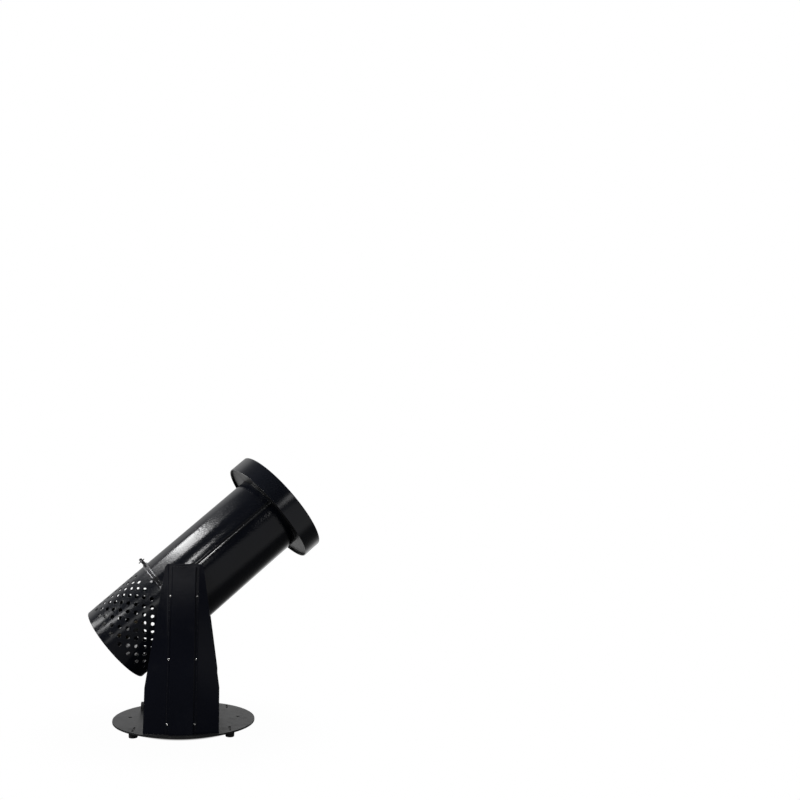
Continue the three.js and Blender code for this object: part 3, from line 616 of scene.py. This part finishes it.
def makeDrum(v):
    bm = newMesh()
    outer, inner, middle = v["radius"], v["radius"] - v["wall"], v["middle"]
    halfAcross, halfAlong = 180 / v["perRing"], v["pitch"] / 2  # one cell round each hole
    border = [(-halfAlong + k * v["pitch"] / 4, -halfAcross) for k in range(4)]
    border += [(halfAlong, -halfAcross + k * halfAcross / 4) for k in range(8)]
    border += [(-along, -across) for along, across in border]
    perDegree = math.radians(outer)

    def spot(along, angle, radius):
        a = math.radians(angle)
        return bm.verts.new((along, -radius * math.cos(a), radius * math.sin(a)))

    def loop(along, angle, radius, hole, share):
        # between the hole's circle (share 0) and the cell's border (share 1)
        made = []
        for k, (da, dc) in enumerate(border):
            turn = math.radians(v["cornerTurn"] + 360 * k / len(border))
            ca, cc = hole * math.cos(turn), hole * math.sin(turn) / perDegree
            made.append(spot(along + ca + (da - ca) * share, angle + cc + (dc - cc) * share, radius))
        return made

    # radius, hole, share and worn edge of each loop, from the outside through the hole to the inside
    edge, hole = v["edge"], v["hole"]
    layers = [
        (outer, hole + edge, 1.0, 0.0), (outer, hole + edge, 0.62, 0.0), (outer, hole + edge, 0.28, 0.0),
        (outer, hole + edge, 0.0, 1.0), (outer - edge * 0.3, hole + edge * 0.3, 0.0, 1.0),
        (outer - edge, hole, 0.0, 0.0), (inner + edge, hole, 0.0, 1.0), (inner, hole + edge, 0.0, 0.0),
        (inner, hole + edge, 0.4, 0.0), (inner, hole + edge, 1.0, 0.0),
    ]
    for ring in range(v["rings"]):
        along = middle + (ring - (v["rings"] - 1) / 2) * v["pitch"]
        for i in range(v["perRing"]):
            angle = v["firstAngle"] + 2 * halfAcross * i + (halfAcross if ring % 2 == 0 else 0)
            loops = [loop(along, angle, radius, size, share) for radius, size, share, _ in layers]
            for (one, two), (_, _, _, edgeHere) in zip(zip(loops, loops[1:]), layers):
                for j in range(len(border)):
                    k = (j + 1) % len(border)
                    addFace(bm, [one[j], one[k], two[k], two[j]], edgeHere)
    reach = v["rings"] / 2 * v["pitch"]
    for end, start in ((v["rear"], middle - reach), (v["front"], middle + reach)):
        corners = softened([(start, outer), (end, outer), (end, inner), (start, inner)], v["rimEdge"])
        corners = [p for p in corners if abs(p[0] - start) > 2]
        profile = [(start, outer, 0.0), ((start + end) / 2, outer, 0.0), *corners,
                   ((start + end) / 2, inner, 0.0), (start, inner, 0.0)]
        count = 8 * v["perRing"]
        rings = [
            [spot(a, v["firstAngle"] + 360 * j / count, r) for j in range(count)] for a, r, _ in profile
        ]
        for i in range(len(profile) - 1):
            for j in range(count):
                k = (j + 1) % count
                addFace(bm, [rings[i][j], rings[i][k], rings[i + 1][k], rings[i + 1][j]], profile[i][2])
    bmesh.ops.remove_doubles(bm, verts=bm.verts, dist=0.01)
    return finishPiece(bm, "intake_drum_punched", "barrel", "even", ["intake_drum"], barrelPlace, 50)


sleeveValues = {"rear": -71.5, "front": -23.5, "radius": 98.2, "wall": 1.5, "edge": 0.5}
capValues = {
    "hole": 10.3, "radius": 98.2, "rear": -225, "face": -207, "front": -205, "sheet": 2, "edge": 1.1,
    "panelFrom": 34, "panelTo": 78, "panelRamp": 4, "panelHigh": 0.9,  # the pressed panel
    "holeEdge": 0.4, "panelEdge": 2, "bendInside": 2.5, "bendOutside": 3.5, "rimInside": 0.6,
    "rimOutside": 0.8,
}


def makeSleeve(v):
    bm = newMesh()
    inner = v["radius"] - v["wall"]
    corners = [(v["rear"], inner), (v["rear"], v["radius"]), (v["front"], v["radius"]), (v["front"], inner)]
    addLathe(bm, softened(corners, v["edge"]), 160)
    return finishPiece(bm, "joint_sleeve_smooth", "barrel", "zincSteel", ["joint_sleeve"], barrelPlace)


def makeEndCap(v):
    bm = newMesh()
    rim, face, panel, ease = v["radius"] - v["sheet"], v["face"], v["face"] + v["panelHigh"], v["panelEdge"]
    corners = [
        (face, v["hole"], v["holeEdge"]), (face, v["panelFrom"], ease),
        (panel, v["panelFrom"] + v["panelRamp"], ease), (panel, v["panelTo"] - v["panelRamp"], ease),
        (face, v["panelTo"], ease), (face, rim, v["bendInside"]), (v["rear"], rim, v["rimInside"]),
        (v["rear"], v["radius"], v["rimOutside"]), (v["front"], v["radius"], v["bendOutside"]),
        (v["front"], v["hole"], v["holeEdge"]),
    ]
    addLathe(bm, softened(corners, v["edge"], 4), 160)
    return finishPiece(bm, "intake_end_cap_pressed", "barrel", "even", ["intake_end_cap"], barrelPlace)


# brass and pipe pieces: profiles as (along, radius, own edge radius)
nozzleProfiles = {
    "gas_inlet_barbed": {
        "node": "gas_inlet", "finish": "brass", "edge": 0.5, "count": 64,
        "profile": [
            (-238, 5), (-238, 6.6), (-233, 8), (-232.6, 6.9), (-228, 8), (-227.6, 6.9), (-223, 8),
            (-222.6, 6.9), (-217.6, 7.2, 1.5), (-217.6, 16, 1.2), (-209.6, 16, 1.2), (-209.6, 10),
            (-193, 10, 1), (-193, 6), (-184, 6, 0.8), (-184, 5),
        ],
    },
    "inlet_seal_ring": {
        "node": "inlet_seal", "finish": "rubber", "edge": 0.6, "count": 64,
        "profile": [(-209.3, 10.3), (-209.3, 16), (-207.3, 16), (-207.3, 10.3)],
    },
    "nozzle_pipe_smooth": {
        "node": "nozzle_pipe", "finish": "zincSteel", "edge": 0.6, "count": 64,
        "profile": [(-192.7, 6.3), (-192.7, 10), (-163, 10), (-163, 6.3)],
    },
    "nozzle_tip_turned": {
        "node": "nozzle_tip", "finish": "brass", "edge": 0.5, "count": 64,
        "profile": [
            (-170.7, 2.6), (-170.7, 6), (-162.7, 6), (-162.7, 12.5, 0.8), (-161, 12.5, 0.3),
            (-160.6, 12, 0.3), (-159.8, 12, 0.3), (-159.4, 12.5, 0.3), (-157.7, 12.5, 0.8),
            (-155.5, 11.2, 1.5), (-143.7, 6, 1), (-143.7, 2.6, 0.6),
        ],
    },
}


def makeTurned(name, v):
    bm = newMesh()
    addLathe(bm, softened(v["profile"], v["edge"]), v["count"])
    return finishPiece(bm, name, "barrel", v["finish"], [v["node"]], barrelPlace)


makeTube(tube)
makeSeam(seamStrip)
makeMuzzleRing(muzzleRingValues)
makeBackPlate(backPlate)
makeDrum(drum)
makeSleeve(sleeveValues)
makeEndCap(capValues)
for turnedName, turnedValues in nozzleProfiles.items():
    makeTurned(turnedName, turnedValues)
softCopy("inlet_locknut", 0.7, finishName="brass", body="barrel")
softCopy("confetti_screen", 0.35, finishName="zincSteel", body="barrel")
for side in ("near", "far"):
    softCopy(f"pivot_saddle_{side}", 0.7, finishName="even", body="barrel")
print("barrel made")


# The clamp band has its own frame: its middle at 0 along X, its ears upwards along Z
clamp = {
    "at": -47.5, "skew": 1.5, "turn": 10, "seat": 100.79, "sheet": 0.9, "half": 6.6, "beadAt": 3.75,
    "beadHalf": 2.3, "beadHeight": 3, "steps": 48, "gap": 8, "earHalf": 3.6, "earLow": 0.3, "earHigh": 19.5,
    "earSheet": 1.6, "earCorner": 2.4, "earEdge": 0.4, "boltHigh": 12.6, "boltRadius": 2, "boltEnd": -16.2,
    "boltPitch": 0.7, "headGap": 0.3, "headRadius": 4, "headHeight": 3, "headEdge": 0.9,
}
clampPlace = (
    barrelPlace
    @ Matrix.Translation((clamp["at"], 0, 0))
    @ Matrix.Rotation(math.radians(-clamp["skew"]), 4, "Y")
    @ Matrix.Rotation(math.radians(clamp["turn"]), 4, "X")
)
alongBolt = Matrix.Rotation(math.radians(90), 4, "Z")  # turns X to Y
boltPlace = Matrix.Translation((0, 0, clamp["seat"] + clamp["boltHigh"])) @ alongBolt


def bandSection(v):
    # across the band: flat edges, two rolled beads and a flat middle
    outer = []
    for k in range(v["steps"] + 1):
        x = -v["half"] + 2 * v["half"] * k / v["steps"]
        fromBead = abs(abs(x) - v["beadAt"]) / v["beadHalf"]
        rise = (v["beadHeight"] - v["sheet"]) * (1 - min(1.0, fromBead) ** 2) ** 0.8
        outer.append((x, v["seat"] + v["sheet"] + rise, 0.0))
    return [*outer, (v["half"], v["seat"], 0.0), (-v["half"], v["seat"], 0.0)]


def makeClampBand(v):
    bm = newMesh()
    opening = math.degrees(math.asin(v["gap"] / 2 / v["seat"]))
    addLathe(bm, bandSection(v), 200, None, 90 + opening, 450 - opening)
    for side in (-1, 1):
        near, far = v["gap"] / 2, v["gap"] / 2 + v["earSheet"]
        low, high = (-far, -near) if side < 0 else (near, far)
        height = (v["seat"] + v["earLow"], v["seat"] + v["earHigh"])
        outline = roundedBox((-v["earHalf"], v["earHalf"]), height, v["earCorner"])
        stand = Matrix.Rotation(math.radians(90), 4, "X")  # outline's Y to Z, its Z to -Y
        addPrism(bm, outline, -high, -low, v["earEdge"], stand)
    return finishPiece(bm, "clamp_band_rolled", "barrel", "bandSteel", ["clamp_band"], clampPlace)


def makeClampBolt(v):
    bm = newMesh()
    seat = v["gap"] / 2 + v["earSheet"] + v["headGap"]
    top, across = seat + v["headHeight"], v["headRadius"]
    head = softened([(seat, 0), (seat, across), (top, across, v["headEdge"]), (top, 0)], 0.3)
    addLathe(bm, head, 6, boltPlace)
    addThread(bm, v["boltRadius"], v["boltEnd"], seat + 0.5, v["boltPitch"], boltPlace)
    return finishPiece(bm, "clamp_bolt_threaded", "barrel", "zincSteel", ["clamp_bolt"], clampPlace, 25)


wingNutValues = {
    "face": -5.9, "length": 7, "bore": 2.3, "hub": 3.6, "hubEnd": 3.096, "thick": 1.1, "edge": 0.5,
    # a wing's outline: out from the bolt's axis, and along it from the nut's outer end
    "wing": [
        (2.6, 4.8), (5, 4.4), (7.2, 4.9), (8.3, 3.2), (8.3, 1.1), (7.5, 0.2), (6.3, 0), (4.6, 1.2), (2.6, 2),
    ],
}


def makeWingNut(v):
    bm = newMesh()
    face, end, bore = v["face"], v["face"] - v["length"], v["bore"]
    hub = softened([(face, bore), (face, v["hub"]), (end, v["hubEnd"]), (end, bore)], v["edge"])
    addLathe(bm, hub, 40, boltPlace)
    for side in (-1, 1):
        outline = [(side * out, end + along) for out, along in v["wing"]]
        if side > 0:
            outline.reverse()  # both outlines run the same way round
        z = clamp["seat"] + clamp["boltHigh"]
        addPrism(bm, outline, z - v["thick"], z + v["thick"], v["edge"])
    nodes = ["clamp_wing_nut"]
    return finishPiece(bm, "clamp_wing_nut_cast", "clamp_wing_nut", "plastic", nodes, clampPlace, 50)


makeClampBand(clamp)
makeClampBolt(clamp)
makeWingNut(wingNutValues)
print("clamp made")


drumScrewValues = {
    "along": -60.2, "angles": [29.8, 149.8, 269.8], "seat": 100.3, "head": 3.2, "high": 2.2, "shank": 1.9,
    "length": 6, "pitch": 0.8,
}


def addHexScrew(bm, seat, radius, high, place):
    # washer face and hexagon; X points out of the sheet
    flange = [(seat, 0), (seat, radius), (seat + high * 0.3, radius * 0.94), (seat + high * 0.36, 0)]
    addLathe(bm, softened(flange, 0.2), 32, place)
    base, top, across = seat + high * 0.2, seat + high, radius * 0.8
    hexagon = [(base, 0), (base, across), (top, across, 0.5), (top, radius * 0.3), (seat + high * 0.9, 0)]
    addLathe(bm, softened(hexagon, 0.15), 6, place)


def makeDrumScrews(v):
    for i, angle in enumerate(v["angles"]):
        bm = newMesh()
        turn = Matrix.Rotation(math.radians(-angle), 4, "X") @ Matrix.Rotation(math.radians(-90), 4, "Z")
        place = Matrix.Translation((v["along"], 0, 0)) @ turn
        addHexScrew(bm, v["seat"], v["head"], v["high"], place)
        addThread(bm, v["shank"], v["seat"] - v["length"], v["seat"] + 0.2, v["pitch"], place)
        nodes = [f"drum_screw_{i + 1}"]
        finishPiece(bm, f"drum_screw_hex_{i + 1}", "barrel", "zincSteel", nodes, barrelPlace, 25)


rivetValues = {
    "flange": 2.5, "flangeHigh": 1.5, "domeHigh": 1.3, "domeHalf": 1.78, "pitHalf": 0.7, "pitDepth": 0.3,
    "shank": 1.6, "tail": 2.4, "tailHigh": 1.2,
}


def makeRivets(v):
    for side, sign in (("near", -1), ("far", 1)):
        for i in range(1, 7):
            node = f"rivet_{side}_{i}"
            low, top = (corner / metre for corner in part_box(node))
            bm = newMesh()
            outward = Matrix.Rotation(math.radians(90 * sign), 4, "Z")  # X to the outside
            spot = Matrix.Translation(((low.x + top.x) / 2, 0, (low.z + top.z) / 2)) @ outward
            tail, head = sorted((abs(low.y), abs(top.y)))
            seat, high = head - v["flangeHigh"], v["domeHigh"]
            dome = [(seat, 0, 0.0), (seat, v["flange"] - 0.2, 0.0), (seat + 0.08, v["flange"], 0.0)]
            for a in (0.2, 0.55, 0.9, 1.25, 1.5):
                across = v["pitHalf"] + v["domeHalf"] * math.cos(a)
                dome.append((head - high + high * math.sin(a), across, 0.0))
            pit = head - v["pitDepth"]  # where the rivet's pin broke off
            dome += [(pit + 0.05, v["pitHalf"] - 0.15, 0.0), (pit, 0, 0.0)]
            addLathe(bm, dome, 32, spot)
            swell, end = tail + v["tailHigh"], head - v["tailHigh"]
            shank = [
                (tail, 0), (tail, v["shank"] - 0.1), (swell, v["tail"]), (swell + 0.05, v["shank"]),
                (end, v["shank"]), (end, 0),
            ]
            addLathe(bm, softened(shank, 0.3), 24, spot)
            finishPiece(bm, f"{node}_domed", "stand", "brightSteel", [node], None, 50)


makeDrumScrews(drumScrewValues)
makeRivets(rivetValues)
print("fasteners made")


footValues = {
    "bottom": -13, "top": -0.3, "lowRadius": 9.6, "highRadius": 10.6, "edge": 1.6, "topEdge": 0.8,
    "groove": [(5, 0.35), (5.5, -0.15), (6.1, 0.4)],  # up from the bottom, and out from its radius
    "grooveEdge": 0.2, "tongueHalf": 2, "tongueReach": 9, "tongueCorner": 1.4, "tongueEdge": 0.5,
}


def makeFeet(v):
    for end in ("front", "rear"):
        for side in ("near", "far"):
            node = f"foot_{end}_{side}"
            low, high = (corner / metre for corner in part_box(node))
            bm = newMesh()
            middle = (low + high) / 2
            place = Matrix.Translation((middle.x, middle.y, 0)) @ upwards
            bottom, radius, edge = v["bottom"], v["lowRadius"], v["grooveEdge"]
            corners = [
                (bottom, 0), (bottom, radius, v["edge"]),
                *((bottom + up, radius + out, edge) for up, out in v["groove"]),
                (v["top"], v["highRadius"], v["topEdge"]), (v["top"], 0),
            ]
            addLathe(bm, softened(corners, 0.4), 64, place)
            across = (middle.x - v["tongueHalf"], middle.x + v["tongueHalf"])
            along = (middle.y - v["tongueReach"], middle.y + v["tongueReach"])
            tongue = roundedBox(across, along, v["tongueCorner"])
            addPrism(bm, tongue, v["top"] - 1, high.z, v["tongueEdge"])
            finishPiece(bm, f"{node}_moulded", "stand", "rubber", [node])


def foldAt(x):
    # picks the long upright edges at that distance from the middle
    def picks(one, two):
        return abs(abs(one.x) - x) < 0.2 and abs(abs(two.x) - x) < 0.2 and abs(one.z - two.z) > 60
    return picks


# widths of the rounded edges, and where the sheets fold and how widely
standEdges = {
    "plate": 0.7, "clip": 0.5, "upright": 0.45, "uprightFoldAt": 33, "uprightFold": 2.5, "channel": 0.35,
    "channelFoldAt": 25.5, "channelFold": 1.1, "angle": 0.5, "bush": 0.4, "screw": 0.4, "pivot": 0.3,
}


def makeStand(v):
    softCopy("base_plate", v["plate"])
    softCopy("hose_clip", v["clip"], finishName="plastic")
    for side in ("near", "far"):
        softCopy(f"upright_{side}", v["upright"], foldAt(v["uprightFoldAt"]), v["uprightFold"], "sheet")
        softCopy(f"channel_{side}", v["channel"], foldAt(v["channelFoldAt"]), v["channelFold"], "sheet")
        softCopy(f"foot_angle_{side}", v["angle"], finishName="sheet")
        softCopy(f"pivot_bush_{side}", v["bush"], finishName="plastic")
    for i in range(1, 5):
        softCopy(f"base_screw_{i}", v["screw"], finishName="zincSteel")
    softCopy("knob_spacer", v["screw"], finishName="zincSteel")
    for node in ("pivot_washer_near", "pivot_screw_near", "knob_washer"):
        softCopy(node, v["pivot"], finishName="zincSteel", body="barrel")


knobValues = {
    "seat": 159.2, "hub": 11, "hubEdge": 0.6, "bore": 4.2, "headFrom": 166.2, "headTo": 183.2, "radius": 24,
    "lobe": 3, "lobes": 5, "rounding": 2.6, "stud": 4, "studFrom": 121.9, "studTo": 168,
    "dish": [(0, 14.5), (0.5, 13.3), (1.6, 12.6), (1.6, 3)],  # depth and radius of the hollow in its face
}


def makeKnob(v):
    bm = newMesh()
    count = 160

    def ring(along, inset, lobed):
        made = []
        for j in range(count):
            a = 2 * math.pi * j / count
            radius = v["radius"] - v["lobe"] / 2 * (1 - math.cos(v["lobes"] * a)) if lobed else inset
            reach = radius - inset if lobed else radius
            made.append(bm.verts.new((reach * math.cos(a), along, reach * math.sin(a))))
        return made

    r, seat, hub, ease = v["rounding"], v["seat"], v["hub"], v["hubEdge"]
    rings = [
        (ring(seat, v["bore"], False), 0.0), (ring(seat, hub - ease, False), 1.0),
        (ring(seat + ease, hub, False), 0.0), (ring(v["headFrom"], hub, False), 0.0),
    ]
    for k in range(5):
        a = math.pi / 2 * k / 4
        rings.append((ring(v["headFrom"] + r * (1 - math.cos(a)), r * (1 - math.sin(a)), True), 1.0))
    for k in range(5):
        a = math.pi / 2 * k / 4
        rings.append((ring(v["headTo"] - r * (1 - math.sin(a)), r * (1 - math.cos(a)), True), 1.0))
    for depth, radius in v["dish"]:
        rings.append((ring(v["headTo"] - depth, radius, False), 1.0 if depth == 0 else 0.0))
    for (one, edge), (two, _) in zip(rings, rings[1:]):
        for j in range(count):
            k = (j + 1) % count
            addFace(bm, [one[j], one[k], two[k], two[j]], edge)
    addFace(bm, rings[0][0])
    addFace(bm, rings[-1][0])
    along = Matrix.Rotation(math.radians(90), 4, "Z")
    start, end = v["studFrom"], v["studTo"]
    addLathe(bm, softened([(start, 0), (start, v["stud"]), (end, v["stud"]), (end, 0)], 0.6), 32, along)
    return finishPiece(bm, "tilt_knob_lobed", "tilt_knob", "plastic", ["tilt_knob"], tiltAxis)


makeFeet(footValues)
makeStand(standEdges)
makeKnob(knobValues)
print("stand made")


floorValues = {
    "size": 9, "height": -0.013, "colour": (0.14, 0.14, 0.14),
    "glow": 0.985, "near": 0.18, "far": 0.4,  # the background's white grows between these distances
    "paintedShadowNear": 0.12, "paintedShadowFar": 0.135,  # and none under the plate, where the floor is bare dark matt: a painted shadow disc
    "glossNear": 0.2, "glossFar": 1.5,  # gloss shows the white behind the object
    "sideNear": 0.15, "sideFar": 0.4, "frontNear": -0.12, "frontFar": -0.35,
    "sheenPatchShare": 0.65,  # and part of it at the front right: a patch that glows for gloss only, a painted reflection band on the lower tube and ring
}


def makeFloor(v):
    bm = bmesh.new()
    half = v["size"] / 2
    corners = ((-half, -half), (half, -half), (half, half), (-half, half))
    bm.faces.new([bm.verts.new((x, y, v["height"])) for x, y in corners])
    mesh = bpy.data.meshes.new("floor")
    bm.to_mesh(mesh)
    bm.free()
    floor = bpy.data.objects.new("floor", mesh)
    bpy.context.scene.collection.objects.link(floor)
    finish = Finish(bpy.data.materials.new("paleFloor"))
    matt = finish.add("ShaderNodeBsdfDiffuse", None, {"Color": (*v["colour"], 1)})
    white = finish.add("ShaderNodeEmission", None, {"Color": (1, 1, 1, 1), "Strength": 1.0})
    away = finish.add("ShaderNodeVectorMath", {"operation": "LENGTH"}, {0: finish.point()}, 1)
    glow = v["glow"] + finish.step(away, v["near"], v["far"]) * (1 - v["glow"])
    # the white fades out under the plate, a painted shadow disc under the base
    glow = glow * finish.step(away, v["paintedShadowNear"], v["paintedShadowFar"])
    right = finish.add("ShaderNodeSeparateXYZ", None, {0: finish.point()}, 0)
    behind = finish.add("ShaderNodeSeparateXYZ", None, {0: finish.point()}, 1)
    # a patch at the front right glows for gloss only, putting a painted reflection band on the tube's and
    # ring's lower side
    sheenPatch = finish.step(right, v["sideNear"], v["sideFar"]) * v["sheenPatchShare"]
    sheenPatch = sheenPatch * (1 - finish.step(behind, v["frontFar"], v["frontNear"]))
    behind = finish.step(behind, v["glossNear"], v["glossFar"])
    shown = finish.seen(finish.maths("MAXIMUM", sheenPatch, behind)) * glow
    both = finish.add("ShaderNodeMixShader", None, {0: shown, 1: matt, 2: white})
    mesh.materials.append(finish.show(both))


# az is measured from +Y towards +X, as seen from the barrel's middle; power in watts
lights = {
    "keyBox": {"az": -99, "el": 50.3, "roll": -5, "far": 1.5, "size": (0.94, 0.2), "power": 18.5},
    "keyApron": {"az": -99, "el": 44.5, "roll": -5, "far": 1.5, "size": (0.94, 0.2), "power": 2.5},
    "keySpill": {"az": -97, "el": 57, "roll": -5, "far": 1.5, "size": (1, 0.2), "power": 0.6},
    "sideBox": {"az": -155, "el": 24.5, "roll": 0, "far": 1.5, "size": (0.1, 0.3), "power": 4.4},
    "drumBox": {"az": -101, "el": 25, "roll": 5, "far": 1.5, "size": (0.45, 0.12), "power": 2.6},
    "drumStreak": {"az": -131, "el": 18.5, "roll": 5, "far": 1.5, "size": (0.3, 0.08), "power": 1.7},
    "lowStrip": {"az": -167, "el": 1.8, "roll": 0, "far": 2.4, "size": (1.1, 0.22), "power": 2.4},
    "rightStrip": {"az": 159, "el": 8, "roll": 0, "far": 2.4, "size": (0.35, 0.3), "power": 1.6},
    "frontFill": {"az": -175, "el": 32, "roll": 0, "far": 2.6, "size": (1.6, 1.6), "power": 30},
}
hiddenLights = ("frontFill",)  # a fill lamp doesn't show in the paint
lightAim = (0.05, 0, 0.36)


def makeLights(values):
    for name, v in values.items():
        az, el = math.radians(v["az"]), math.radians(v["el"])
        way = Vector((math.sin(az) * math.cos(el), math.cos(az) * math.cos(el), math.sin(el)))
        light = bpy.data.lights.new(name, "AREA")
        light.shape = "RECTANGLE"
        light.size, light.size_y = v["size"]
        light.energy = v["power"]
        lamp = bpy.data.objects.new(name, light)
        lamp.location = Vector(lightAim) + way * v["far"]
        lamp.rotation_mode = "QUATERNION"
        roll = Quaternion((0, 0, 1), math.radians(v["roll"]))
        lamp.rotation_quaternion = (-way).to_track_quat("-Z", "Y") @ roll
        lamp.visible_glossy = name not in hiddenLights
        bpy.context.scene.collection.objects.link(lamp)


# light from around, by direction along Y: dark behind the camera, white behind the object
roomValues = {
    "greys": [(0.0, 0.03), (0.5, 0.2), (0.62, 0.4), (0.75, 1.0), (0.85, 0.8), (0.95, 0.45)],
    "whiteFrom": 0.88, "whiteTo": 1.0,  # and where gloss shows the white
}


def makeWorld(v):
    world = bpy.data.worlds.new("studio")
    bpy.context.scene.world = world
    studio = Finish(world, "ShaderNodeOutputWorld")
    way = studio.add("ShaderNodeTexCoord", output="Generated")
    behind = studio.add("ShaderNodeSeparateXYZ", None, {0: way}, 1)
    stops = [(place, (grey, grey, grey)) for place, grey in v["greys"]]
    tone = studio.add("ShaderNodeValToRGB", {"stops": stops}, {0: behind * 0.5 + 0.5})
    room = studio.add("ShaderNodeBackground", None, {"Color": tone, "Strength": 1.0})
    white = studio.add("ShaderNodeBackground", None, {"Color": (1, 1, 1, 1), "Strength": 1.0})
    shown = studio.seen(studio.step(behind, v["whiteFrom"], v["whiteTo"]))
    studio.show(studio.add("ShaderNodeMixShader", None, {0: shown, 1: room, 2: white}))


cameraValues = {
    "place": (0.0573, -1.20967, 0.29268), "yaw": 0.06027, "pitch": 0.15385, "roll": 0.00508,
    "lens": 21.6, "shift": (0.2, 0.15),
}


def makeCamera(v):
    yaw, pitch, roll = v["yaw"], v["pitch"], v["roll"]
    ahead = Vector((math.sin(yaw) * math.cos(pitch), math.cos(yaw) * math.cos(pitch), math.sin(pitch)))
    level = Vector((math.cos(yaw), -math.sin(yaw), 0))
    above = level.cross(ahead)
    right = level * math.cos(roll) + above * math.sin(roll)
    up = above * math.cos(roll) - level * math.sin(roll)
    data = bpy.data.cameras.new("camera")
    data.lens = v["lens"]
    data.shift_x, data.shift_y = v["shift"]
    camera = bpy.data.objects.new("camera", data)
    turn = Matrix((right, up, -ahead)).transposed().to_4x4()
    camera.matrix_world = Matrix.Translation(v["place"]) @ turn
    bpy.context.scene.collection.objects.link(camera)
    bpy.context.scene.camera = camera


makeFloor(floorValues)
makeLights(lights)
makeWorld(roomValues)
makeCamera(cameraValues)
bpy.context.scene.view_settings.view_transform = "Standard"
print("floor, light and camera made")

bpy.context.view_layer.update()
